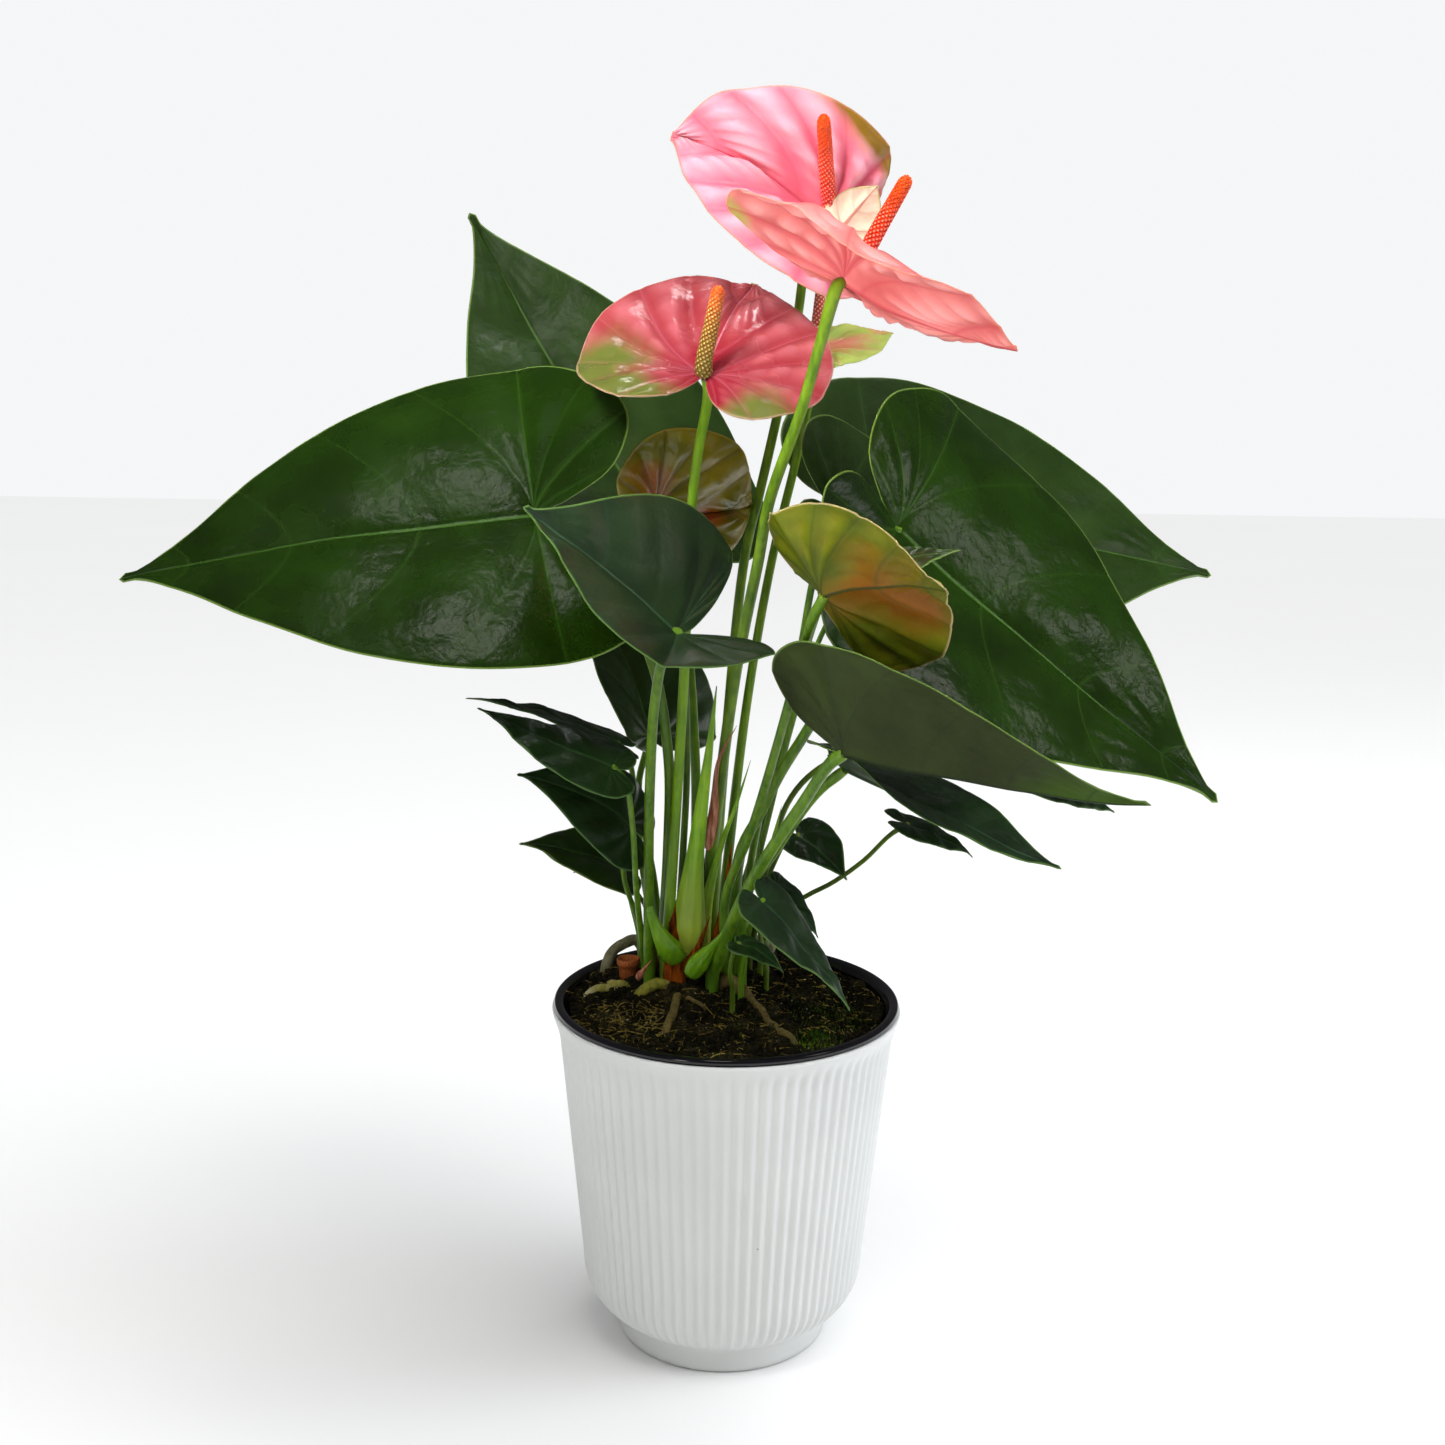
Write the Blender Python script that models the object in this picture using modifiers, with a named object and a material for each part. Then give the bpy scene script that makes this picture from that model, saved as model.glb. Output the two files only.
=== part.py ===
"""Potted anthurium: a pink-flowered plant in its black nursery pot inside a ribbed white cover pot.

The origin is the centre of the cover pot's flat foot, +Z is up, +X is to the right of the
front view and the front looks along -Y. Lengths below are in millimetres and angles in degrees;
MM turns them into metres where a mesh is made.
"""

import math
from dataclasses import dataclass

import bmesh
import bpy
import numpy as np
from mathutils import Vector

MM = 0.001
GAP = 0.3                    # clearance between two pieces that touch

# Cover pot
RIM_RADIUS = 60.6
RIM_HEIGHT = 120.0
COLLAR_RADIUS = 58.0
COLLAR_HEIGHT = 108.0
BELLY_RADIUS = 48.6
BELLY_HEIGHT = 21.0
FOOT_RADIUS = 37.0
FOOT_HEIGHT = 9.0
COVER_WALL = 1.6
RIBS = 80
RIB_DEPTH = 0.7

# Nursery pot, hung by its lip on the cover pot's rim
NURSERY_SIDES = 40
NURSERY_LIP_RADIUS = 60.0
NURSERY_LIP_THICKNESS = 2.2
NURSERY_TOP_RADIUS = 55.4
NURSERY_FLOOR_RADIUS = 41.0
NURSERY_FLOOR_HEIGHT = 17.0
NURSERY_WALL = 1.1
DRAIN_HOLES = 6
DRAIN_RADIUS = 4.0
DRAIN_CIRCLE = 26.0

# Soil, heaped round the crown
SOIL_EDGE_HEIGHT = 119.0
MOUND_HEIGHT = 10.0
MOUND_CENTRE = (-11.0, 15.0)
MOUND_SPREAD = 30.0
SOIL_SIDES = 24
SOIL_RINGS = 5

# Plant
BLADE_THICKNESS = 0.8
STEM_FOOT = 109.0            # height at which every stem ends in the soil
STRAIGHT_STEM_TOP = 131.0    # a stem is straight up to here, so it stands in a plain bore
STEM_SIDES = 6
BORE_SIDES = 6
NOTCH_HALF_WIDTH = 0.03      # least half width of the notch between the lobes / half width
VEIN_SLANT = 0.8             # how far forward of its root a side vein meets the margin

# Half outlines from the tip round to the notch: along / length, across / half width
LEAF_OUTLINE = [
    (1.00, 0.00), (0.94, 0.045), (0.82, 0.20), (0.64, 0.50), (0.40, 0.83), (0.14, 1.00),
    (-0.08, 0.97), (-0.24, 0.74), (-0.30, 0.45), (-0.22, 0.16), (-0.03, 0.00),
]
SPATHE_OUTLINE = [
    (1.00, 0.00), (0.96, 0.05), (0.88, 0.20), (0.72, 0.52), (0.48, 0.86), (0.18, 1.00),
    (-0.10, 0.96), (-0.30, 0.73), (-0.38, 0.42), (-0.26, 0.13), (-0.03, 0.00),
]


@dataclass
class Blade:
    """A heart-shaped blade: where it joins its stalk, where it points and how it is bent.

    Pairs are (left, right) as seen from the stalk, looking at the tip with the upper face up.
    """

    at: tuple                # where the stalk meets the blade
    heading: float           # compass direction of the midrib, from +X towards +Y
    pitch: float             # rise of the midrib where it leaves the stalk
    roll: float              # turn about the midrib, left side up
    length: float            # stalk to tip
    broad: tuple             # half widths / length
    lobes: tuple = (1.0, 1.0)    # how far the lobes reach back, 1 is the outline's own
    droop: float = 15.0      # bend of the midrib along its length
    fold: tuple = (10.0, 10.0)   # rise of each half from the midrib
    arch: tuple = (-20.0, -20.0)  # further bend of each half by its margin
    twist: float = 0.0       # turn of the tip about the midrib
    lift: tuple = (0.0, 0.0)  # rise of each lobe


@dataclass
class Stalk:
    """A petiole or a flower stalk: its spot in the soil, its thickness and the way it takes."""

    foot: tuple
    radius: float
    route: list


LEAVES = {
    "leaf_left_large": (
        Blade((-64, -20, 290), 193, -5, -70, 137, (0.39, 0.42), (1.0, 0.9), 26, (20, -5), (-8, -24),
              9, (1, 31)),
        Stalk((-23, 12), 1.9, [(-21, 5, 174), (-21, -1, 207), (-27, -7, 242), (-43, -14, 272)]),
    ),
    "leaf_back_left_tall": (
        Blade((-33, 58, 289), 141, 45, -6, 138, (0.37, 0.42), (1.0, 0.8), -10, (12, 16), (-18, -25),
              -34, (0, -5)),
        Stalk((-14, 32), 1.9, [(-12, 36, 166), (-13, 42, 205), (-19, 51, 255)]),
    ),
    "leaf_right_large": (
        Blade((51, -29, 289), 7, -41, 48, 142, (0.43, 0.39), (0.6, 0.8), -6, (16, 12), (-27, -25),
              7, (7, 29)),
        Stalk((2, 8), 2.0, [(4, 0, 174), (10, -3, 188), (17, -7, 204), (26, -12, 221), (38, -19, 247),
                            (46, -26, 274)]),
    ),
    "leaf_front_right": (
        Blade((34, -71, 225), -40, -4, -60, 96, (0.36, 0.39), (0.8, 1.0), -12, (50, 11), (-10, -10),
              14, (0, 9)),
        Stalk((-5, -2), 2.1, [(4, -20, 162), (13, -35, 184), (22, -50, 203), (30, -64, 220)]),
    ),
    "leaf_front_left": (
        Blade((-17, -59, 259), 188, 42, -5, 59, (0.41, 0.75), (1.8, 0.2), 6, (-8, 51), (-25, -25),
              -22, (39, 1)),
        Stalk((-27, 2), 1.8, [(-27, -12, 168), (-26, -30, 206), (-24, -45, 235), (-21, -54, 251)]),
    ),
    "leaf_right_low": (
        Blade((36, -42, 213), -12, -22, -10, 74, (0.33, 0.32), (0.3, 0.2), -1, (17, 17), (-16, -8),
              44, (1, 1)),
        Stalk((5, 1), 1.7, [(7, -6, 162), (16, -16, 180), (25, -28, 198), (30, -35, 206)]),
    ),
    "leaf_right_small": (
        Blade((59, -20, 190), 8, -19, 13, 26, (0.35, 0.35), (1.0, 1.0), 16, (10, 9), (-20, -19), 8),
        Stalk((12, 13), 0.9, [(15, 11, 146), (27, 6, 157), (36, 3, 163), (46, -4, 173),
                              (54, -14, 185)]),
    ),
    "leaf_right_hidden": (
        Blade((92, -22, 209), 19, -16, 14, 44, (0.35, 0.36), (1.0, 1.0), 14, (10, 10), (-20, -18), 17),
        Stalk((8, 20), 1.1, [(21, 16, 189), (36, 7, 206), (52, -2, 212), (76, -13, 213)]),
    ),
    "leaf_left_narrow": (
        Blade((-39, 4, 211), 177, 25, -1, 54, (0.29, 0.29), (0.5, 0.3), 19, (10, 10), (-20, -18),
              11, (-2, -2)),
        Stalk((-25, 19), 1.1, [(-30, 18, 159), (-33, 16, 189), (-35, 10, 204)]),
    ),
    "leaf_left_slim": (
        Blade((-38, -34, 211), 179, 21, -22, 47, (0.31, 0.29), (0.6, 0.4), -6, (6, 6), (-21, -24), -4),
        Stalk((-29, 8), 1.1, [(-31, -13, 164), (-32, -25, 191), (-34, -31, 206)]),
    ),
    "leaf_middle_back": (
        Blade((-29, 45, 205), 129, 66, 20, 61, (0.45, 0.61), (0.3, 0.3), 23, (20, 15), (-8, -17),
              -35, (0, 3)),
        Stalk((-24, 26), 1.4, [(-27, 30, 156), (-31, 36, 174), (-33, 41, 189)]),
    ),
    "leaf_left_low": (
        Blade((-34, -5, 184), 212, 45, -44, 44, (0.39, 0.47), (0.8, 1.0), 45, (4, 13), (-33, -19),
              -9, (8, -4)),
        Stalk((-28, 16), 1.0, [(-32, 9, 148), (-36, 3, 163), (-36, -2, 175)]),
    ),
    "leaf_left_lowest": (
        Blade((-37, 18, 163), 201, 27, -33, 39, (0.33, 0.37), (0.5, 0.5), 26, (10, 15), (-21, -18), -9),
        Stalk((-31, 21), 0.9, [(-32, 20, 139), (-35, 19, 152)]),
    ),
    "leaf_left_tiny": (
        Blade((-42, 24, 158), 171, 15, 4, 14, (0.40, 0.40), (1.0, 1.0), 23),
        Stalk((-27, 30), 0.8, [(-30, 28, 146), (-35, 26, 154)]),
    ),
    "leaf_right_round": (
        Blade((24, 2, 180), -42, -17, 13, 24, (0.50, 0.40), (0.6, 0.5), 27, (14, 11), (-18, -17),
              6, (-1, 1)),
        Stalk((14, 18), 0.9, [(13, 13, 157), (16, 9, 168), (20, 6, 177)]),
    ),
    "leaf_front_hanging": (
        Blade((11, -36, 168), -12, -45, 13, 46, (0.30, 0.31), (0.4, 0.5), 9, (10, 10), (-18, -24),
              -8, (-2, 3)),
        Stalk((5, -6), 0.9, [(7, -12, 149), (9, -24, 160), (10, -32, 166)]),
    ),
    "leaf_front_small": (
        Blade((16, -8, 164), -10, -36, 15, 23, (0.42, 0.40), (0.6, 0.6), 26, (10, 10), (-22, -20), 2),
        Stalk((14, 4), 0.8, [(11, 5, 147), (12, 0, 156)]),
    ),
    "leaf_soil_tiny": (
        Blade((4, -23, 149), -27, -9, 7, 18, (0.35, 0.35), (0.5, 0.5), 31, (11, 10), (-20, -21)),
        Stalk((2, -16), 0.8, [(1, -19, 138), (2, -21, 145)]),
    ),
    "leaf_back_right": (
        Blade((52, 58, 285), 11, -5, 47, 141, (0.45, 0.39), (0.8, 0.3), 13, (5, 8), (-2, -21), 7,
              (4, 0)),
        Stalk((-1, 28), 1.9, [(9, 37, 161), (20, 46, 205), (28, 54, 241), (38, 57, 267)]),
    ),
    "leaf_right_inner": (
        Blade((32, 4, 292), 8, -46, 47, 69, (0.60, 0.30), (1.2, 0.4), 25, (9, 10), (-19, -20)),
        Stalk((4, 26), 1.4, [(10, 22, 177), (17, 17, 211), (23, 12, 240), (27, 7, 268)]),
    ),
    "leaf_right_curled": (
        Blade((41, -57, 278), -2, 22, 30, 28, (0.29, 0.31), (0.8, 0.8), 19, (8, 9), (-21, -20), -3),
        Stalk((3, 19), 1.0, [(12, 8, 177), (21, -4, 222), (28, -20, 251), (36, -40, 271)]),
    ),
    "young_leaf_left": (
        Blade((-27, 2, 289), 23, -1, 101, 46, (0.70, 0.51), (0.9, 0.8), 41, (26, 22), (-26, -16),
              4, (4, 0)),
        Stalk((-18, 20), 1.3, [(-16, 16, 171), (-15, 13, 204), (-17, 9, 243), (-24, 5, 274)]),
    ),
    "young_leaf_right": (
        Blade((26, -80, 273), -40, 17, -61, 55, (0.58, 0.53), (0.1, 1.2), 37, (7, -2), (5, 2),
              -3, (0, 41)),
        Stalk((0, 2), 1.6, [(-1, -3, 158), (7, -18, 186), (14, -39, 218), (19, -57, 244),
                            (23, -73, 265)]),
    ),
}

# A small leaf whose stalk runs through the notch of a large one makes one piece with it
GROWN_TOGETHER = {"leaf_right_curled": "leaf_right_large"}

FLOWERS = {
    "flower_top": (
        Blade((28, 24, 386), 195, 42, -60, 60, (0.53, 0.61), (1.0, 0.6), 47, (16, 41), (-19, -15),
              -23, (0, -32)),
        Stalk((-6, 31), 1.8, [(-2, 33, 200), (4, 33, 272), (9, 31, 296), (14, 30, 320),
                              (20, 29, 351)]),
        (26, -4, 416), 2.8,
    ),
    "flower_front": (
        Blade((31, -45, 363), -38, -30, -56, 58, (0.41, 0.81), (1.2, 1.6), -35, (40, 15), (-5, -83),
              16, (-12, -31)),
        Stalk((-10, 22), 2.0, [(1, 0, 234), (8, -13, 276), (11, -22, 296), (20, -34, 325),
                               (25, -41, 345)]),
        (50, -40, 394), 2.8,
    ),
    "flower_left": (
        Blade((-10, -18, 335), 74, 40, 0, 67, (0.62, 0.58), (1.1, 0.6), 24, (17, 3), (-17, -24),
              11, (19, -10)),
        Stalk((-21.5, 5), 1.8, [(-18, -3, 193), (-16, -6, 235), (-14, -12, 292), (-12, -15, 311)]),
        (-6, -26, 362), 2.8,
    ),
    "flower_back": (
        Blade((28, 40, 344), 26, 21, 14, 32, (0.60, 0.55), (0.8, 0.8), 19, (7, 8), (-25, -22), 9),
        Stalk((-3, 37), 1.7, [(6, 40, 220), (14, 43, 271), (21, 42, 303), (26, 41, 327)]),
        (29, 40, 367), 2.2,
    ),
}

# Sheaths and bracts round the crown: route, width, depth
SHEATHS = {
    "sheath_large": ([(-14, 4, 116), (-14, 3, 142), (-13, 2, 158), (-10, 0, 187), (-7, -3, 213),
                      (-5, -5, 233)], 9.5, 4.5),
    "sheath_second": ([(-8, 13, 116), (-8, 11, 148), (-3, 8, 173), (3, 5, 192), (7, 3, 206)],
                      5.0, 3.0),
    "bract_brown": ([(-7.4, 2, 174), (-5.5, 2, 187), (-4, 1, 206), (2, -2, 219)], 4.0, 1.2),
}

# Aerial roots: thickness and the way they take over the soil, as (x, y, height above the soil)
ROOTS = {
    "root_left": (2.0, [(-29, 34, -6), (-33, 33, 8), (-38, 31, 8), (-42, 28, 6), (-45, 25, -3)]),
    "root_right": (2.3, [(4, 37, -6), (5, 35, 8), (9, 33, 9), (14, 31, 8), (17, 30, 6)]),
    "root_tan": (1.3, [(7, -5, -5), (8.5, -8, 0.6), (12, -14, 0.6), (17, -25, 0.4), (22, -33, 0.3),
                       (25, -38, -4)]),
    "root_front": (1.5, [(-16, -3, -5), (-17, -7, 0.5), (-18, -18, 0.5), (-20, -27, 0),
                         (-21, -33, -5)]),
    "root_cream": (1.5, [(-52, 5, -4), (-47, 4.5, 0.8), (-42, 4, 1), (-37, 3, 1.2),
                         (-33.5, 5.5, -4)]),
}
PLUG_PLACE = (-35.0, 14.0)
PLUG_TOP_RADIUS = 4.2
PLUG_FOOT_RADIUS = 3.0
PLUG_HEIGHT = 8.0
PLUG_SUNK = 1.0

SPADIX_COLUMNS = 10
SPADIX_ROWS = 13
FLORET_RELIEF = 0.3


def clear_scene():
    """Remove every object, mesh and curve that the file starts with."""
    for thing in list(bpy.data.objects):
        bpy.data.objects.remove(thing, do_unlink=True)
    for mesh in list(bpy.data.meshes):
        bpy.data.meshes.remove(mesh)


def new_collection(name):
    """Make a collection in the scene."""
    collection = bpy.data.collections.new(name)
    bpy.context.scene.collection.children.link(collection)
    return collection


def make_material(name, colour, roughness, metallic=0.0):
    """A Principled material with one linear colour."""
    material = bpy.data.materials.new(name)
    material.use_nodes = True
    shader = material.node_tree.nodes["Principled BSDF"]
    shader.inputs["Base Color"].default_value = (*colour, 1.0)
    shader.inputs["Roughness"].default_value = roughness
    shader.inputs["Metallic"].default_value = metallic
    return material


def object_from_bmesh(bm, name, collection, material=None, smooth=True):
    """Turn a bmesh into an object, with its normals pointing out."""
    mesh = bpy.data.meshes.new(name)
    bm.to_mesh(mesh)
    bm.free()
    if smooth:
        mesh.shade_smooth()
        mesh.set_sharp_from_angle(angle=math.radians(50))
    if material is not None:
        mesh.materials.append(material)
    thing = bpy.data.objects.new(name, mesh)
    collection.objects.link(thing)
    return thing


def apply_modifiers(thing):
    """Freeze an object's modifiers into its mesh."""
    bpy.context.view_layer.update()
    evaluated = thing.evaluated_get(bpy.context.evaluated_depsgraph_get())
    mesh = bpy.data.meshes.new_from_object(evaluated)
    mesh.name = thing.name
    thing.modifiers.clear()
    thing.data = mesh


def boolean(thing, operation, other=None, collection=None, solver="EXACT"):
    """Join or cut with one object or with every object of a collection, and remove those."""
    modifier = thing.modifiers.new("boolean", "BOOLEAN")
    modifier.operation = operation
    modifier.solver = solver
    if other is not None:
        modifier.object = other
    else:
        modifier.operand_type = "COLLECTION"
        modifier.collection = collection
    apply_modifiers(thing)
    for used in [other] if other is not None else list(collection.objects):
        bpy.data.objects.remove(used, do_unlink=True)


def smooth_path(points, count):
    """Points along a smooth curve through the given ones, evenly spread over its chords."""
    points = np.array(points, float)
    steps = np.sqrt(np.linalg.norm(np.diff(points, axis=0), axis=1))
    knots = np.concatenate([[0.0], np.cumsum(steps)])
    slopes = np.zeros_like(points)
    slopes[0] = (points[1] - points[0]) / steps[0]
    slopes[-1] = (points[-1] - points[-2]) / steps[-1]
    for i in range(1, len(points) - 1):
        before = (points[i] - points[i - 1]) / steps[i - 1]
        after = (points[i + 1] - points[i]) / steps[i]
        slopes[i] = (before * steps[i] + after * steps[i - 1]) / (steps[i] + steps[i - 1])
    curve = []
    for knot in np.linspace(0.0, knots[-1], count):
        i = min(int(np.searchsorted(knots, knot, side="right")) - 1, len(points) - 2)
        step = steps[i]
        u = (knot - knots[i]) / step
        curve.append((2 * u**3 - 3 * u**2 + 1) * points[i]
                     + (u**3 - 2 * u**2 + u) * step * slopes[i]
                     + (3 * u**2 - 2 * u**3) * points[i + 1]
                     + (u**3 - u**2) * step * slopes[i + 1])
    return np.array(curve)


def turned_to(heading, pitch, roll):
    """Rotation matrix whose columns are a blade's midrib, left side and upper face."""
    a, b, c = (math.radians(value) for value in (heading, pitch, roll))
    about_z = np.array([[math.cos(a), -math.sin(a), 0], [math.sin(a), math.cos(a), 0], [0, 0, 1]])
    about_y = np.array([[math.cos(b), 0, -math.sin(b)], [0, 1, 0], [math.sin(b), 0, math.cos(b)]])
    about_x = np.array([[1, 0, 0], [0, math.cos(c), -math.sin(c)], [0, math.sin(c), math.cos(c)]])
    return about_z @ about_y @ about_x


def bend(blade, along, across, side):
    """Carry a spot of the flat blade to its place; side 0 is the left half, 1 the right."""
    share = max(along, 0.0) / blade.length
    droop = math.radians(blade.droop)
    if abs(droop) < 1e-6:
        x, z = share * blade.length, 0.0
    else:
        x = blade.length * math.sin(droop * share) / droop
        z = -blade.length * (1 - math.cos(droop * share)) / droop
    behind = max(-along, 0.0)
    lift = math.radians(blade.lift[side])
    x -= behind * math.cos(lift)
    z += behind * math.sin(lift)
    fold = math.radians(blade.fold[side])
    arch = math.radians(blade.arch[side]) / (blade.broad[side] * blade.length)
    if abs(arch) < 1e-9:
        out, up = across * math.cos(fold), across * math.sin(fold)
    else:
        out = (math.sin(fold + arch * across) - math.sin(fold)) / arch
        up = (math.cos(fold) - math.cos(fold + arch * across)) / arch
    out *= 1 if side == 0 else -1
    twist = math.radians(blade.twist) * share
    y = out * math.cos(twist) - up * math.sin(twist)
    up = out * math.sin(twist) + up * math.cos(twist)
    lean = -droop * share
    local = np.array([x - up * math.sin(lean), y, z + up * math.cos(lean)])
    return turned_to(blade.heading, blade.pitch, blade.roll) @ local + np.array(blade.at)


def side_veins(blade, outline, side, count):
    """Flat rows from tip to notch: root on the midrib, then the margin's along and across."""
    path = smooth_path(outline, count)
    path[1:-1, 1] = np.maximum(path[1:-1, 1], NOTCH_HALF_WIDTH)
    path[0], path[-1] = outline[0], outline[-1]
    mean_broad = 0.5 * sum(blade.broad)
    rows = []
    for along, across in path:
        root = max(0.0, along - VEIN_SLANT * mean_broad * across)
        reach = blade.lobes[side] if along < outline[-1][0] else 1.0
        rows.append((root * blade.length, along * reach * blade.length,
                     across * blade.broad[side] * blade.length))
    return rows


def blade_object(blade, outline, name, collection, count, columns):
    """A thin closed blade: each half is a fan of strips that run as the side veins do."""
    bm = bmesh.new()
    for side in (0, 1):
        rows = []
        for root, along, across in side_veins(blade, outline, side, count):
            row = []
            for k in range(columns + 1):
                u = k / columns
                spot = bend(blade, root + u * (along - root), u * across, side if across else 0)
                row.append(bm.verts.new(Vector(spot) * MM))
            rows.append(row)
        for j in range(count - 1):
            for k in range(columns):
                corners = [rows[j][k], rows[j + 1][k], rows[j + 1][k + 1], rows[j][k + 1]]
                bm.faces.new(corners if side == 0 else corners[::-1])
    bmesh.ops.remove_doubles(bm, verts=bm.verts, dist=0.02 * MM)
    bmesh.ops.triangulate(bm, faces=bm.faces)
    bmesh.ops.recalc_face_normals(bm, faces=bm.faces)
    thing = object_from_bmesh(bm, name, collection)
    shell = thing.modifiers.new("thickness", "SOLIDIFY")
    shell.thickness = BLADE_THICKNESS * MM
    shell.offset = 0.0
    apply_modifiers(thing)
    return thing


def tube_object(points, radii, name, collection):
    """A closed six-sided tube along the points, as a mesh."""
    curve = bpy.data.curves.new(name, "CURVE")
    curve.dimensions = "3D"
    curve.bevel_depth = MM
    curve.bevel_resolution = STEM_SIDES // 2 - 2
    curve.use_fill_caps = True
    curve.twist_mode = "MINIMUM"
    spline = curve.splines.new("POLY")
    spline.points.add(len(points) - 1)
    for spot, place, radius in zip(spline.points, points, radii):
        spot.co = (*(Vector(place) * MM), 1.0)
        spot.radius = radius
    holder = bpy.data.objects.new(name + "_curve", curve)
    collection.objects.link(holder)
    bpy.context.view_layer.update()
    evaluated = holder.evaluated_get(bpy.context.evaluated_depsgraph_get())
    mesh = bpy.data.meshes.new_from_object(evaluated)
    bm = bmesh.new()
    bm.from_mesh(mesh)
    bmesh.ops.remove_doubles(bm, verts=bm.verts, dist=0.005 * MM)
    bmesh.ops.recalc_face_normals(bm, faces=bm.faces)
    thing = object_from_bmesh(bm, name, collection)
    thing.matrix_world = holder.matrix_world.copy()
    bpy.data.objects.remove(holder, do_unlink=True)
    return thing


def stalk_points(stalk, ends, count):
    """A stalk's way from its foot in the soil, straight up at first, to the given ends."""
    x, y = stalk.foot
    way = [(x, y, STRAIGHT_STEM_TOP)] + stalk.route + ends
    return np.vstack([[(x, y, STEM_FOOT)], smooth_path(way, count)])


def stalk_radii(stalk, count):
    """A stalk thins a little upwards and swells at its foot and just below the blade."""
    radii = []
    for share in np.linspace(0.0, 1.0, count):
        swell = 0.18 * math.exp(-((share - 0.94) / 0.06) ** 2)
        foot = 0.15 * math.exp(-(share / 0.15) ** 2)
        radii.append(stalk.radius * (1.0 - 0.15 * share + foot + swell))
    return [radii[0]] + radii


def soil_height(x, y):
    """Top of the soil: level by the rim, heaped round the crown, with low clods."""
    far = ((x - MOUND_CENTRE[0]) ** 2 + (y - MOUND_CENTRE[1]) ** 2) / MOUND_SPREAD**2
    clods = 0.7 * math.sin(0.31 * x + 0.8) * math.cos(0.27 * y - 0.4)
    clods += 0.4 * math.sin(0.62 * x - 0.45 * y)
    edge = max(0.0, 1.0 - (math.hypot(x, y) / NURSERY_TOP_RADIUS) ** 6)
    return SOIL_EDGE_HEIGHT + MOUND_HEIGHT * math.exp(-far) + clods * edge


def ring(bm, radius, height, sides, depth=0.0, turn=0.0):
    """A ring of points; every other one stands in by the depth."""
    points = []
    for i in range(sides):
        angle = 2 * math.pi * (i + turn) / sides
        reach = radius - (depth if i % 2 else 0.0)
        points.append(bm.verts.new(Vector((reach * math.cos(angle), reach * math.sin(angle),
                                           height)) * MM))
    return points


def join_rings(bm, lower, upper):
    """Faces between two rings, of which one may have twice as many points as the other."""
    if len(lower) == len(upper):
        count = len(lower)
        for i in range(count):
            j = (i + 1) % count
            bm.faces.new([lower[i], lower[j], upper[j], upper[i]])
        return
    few, many = (lower, upper) if len(lower) < len(upper) else (upper, lower)
    flip = few is upper
    for i in range(len(few)):
        j = (i + 1) % len(few)
        a, b, c = many[2 * i], many[2 * i + 1], many[(2 * i + 2) % len(many)]
        for corners in ([few[i], few[j], b], [few[i], b, a], [few[j], c, b]):
            bm.faces.new(corners[::-1] if flip else corners)


def pot_from_rings(name, rings, collection, material):
    """A closed turned shell from rings that run up the outside and down the inside."""
    bm = bmesh.new()
    loops = [ring(bm, *values) for values in rings]
    for lower, upper in zip(loops[:-1], loops[1:]):
        join_rings(bm, lower, upper)
    bm.faces.new(loops[0][::-1])
    bm.faces.new(loops[-1])
    bmesh.ops.recalc_face_normals(bm, faces=bm.faces)
    return object_from_bmesh(bm, name, collection, material)


def build_cover_pot(collection, material):
    """The white pot: round foot, rounded belly, ribbed wall, smooth collar and rolled rim."""
    ribbed = 2 * RIBS
    inside = RIBS // 2
    inner = -COVER_WALL
    rings = [
        (FOOT_RADIUS - 0.4, 0.0, RIBS),
        (FOOT_RADIUS + 0.6, FOOT_HEIGHT, RIBS),
        (FOOT_RADIUS + 3.6, FOOT_HEIGHT + 1.6, ribbed, RIB_DEPTH),
        (BELLY_RADIUS - 3.2, BELLY_HEIGHT - 6.2, ribbed, RIB_DEPTH),
        (BELLY_RADIUS, BELLY_HEIGHT, ribbed, RIB_DEPTH),
        (COLLAR_RADIUS - 0.4, COLLAR_HEIGHT - 1.0, ribbed, RIB_DEPTH),
        (COLLAR_RADIUS - 0.2, COLLAR_HEIGHT, RIBS),
        (COLLAR_RADIUS + 0.6, COLLAR_HEIGHT + 5.5, RIBS),
        (RIM_RADIUS - 0.8, RIM_HEIGHT - 3.2, RIBS),
        (RIM_RADIUS, RIM_HEIGHT - 0.6, RIBS),
        (RIM_RADIUS - 0.7, RIM_HEIGHT, RIBS),
        (COLLAR_RADIUS + inner, RIM_HEIGHT - 0.8, inside),
        (COLLAR_RADIUS + inner - 0.8, COLLAR_HEIGHT, inside),
        (BELLY_RADIUS + inner - 0.9, BELLY_HEIGHT, inside),
        (FOOT_RADIUS + 3.0, FOOT_HEIGHT + 3.4, inside),
        (FOOT_RADIUS - 3.0, 2.0, inside),
    ]
    return pot_from_rings("cover_pot", rings, collection, material)


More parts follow.
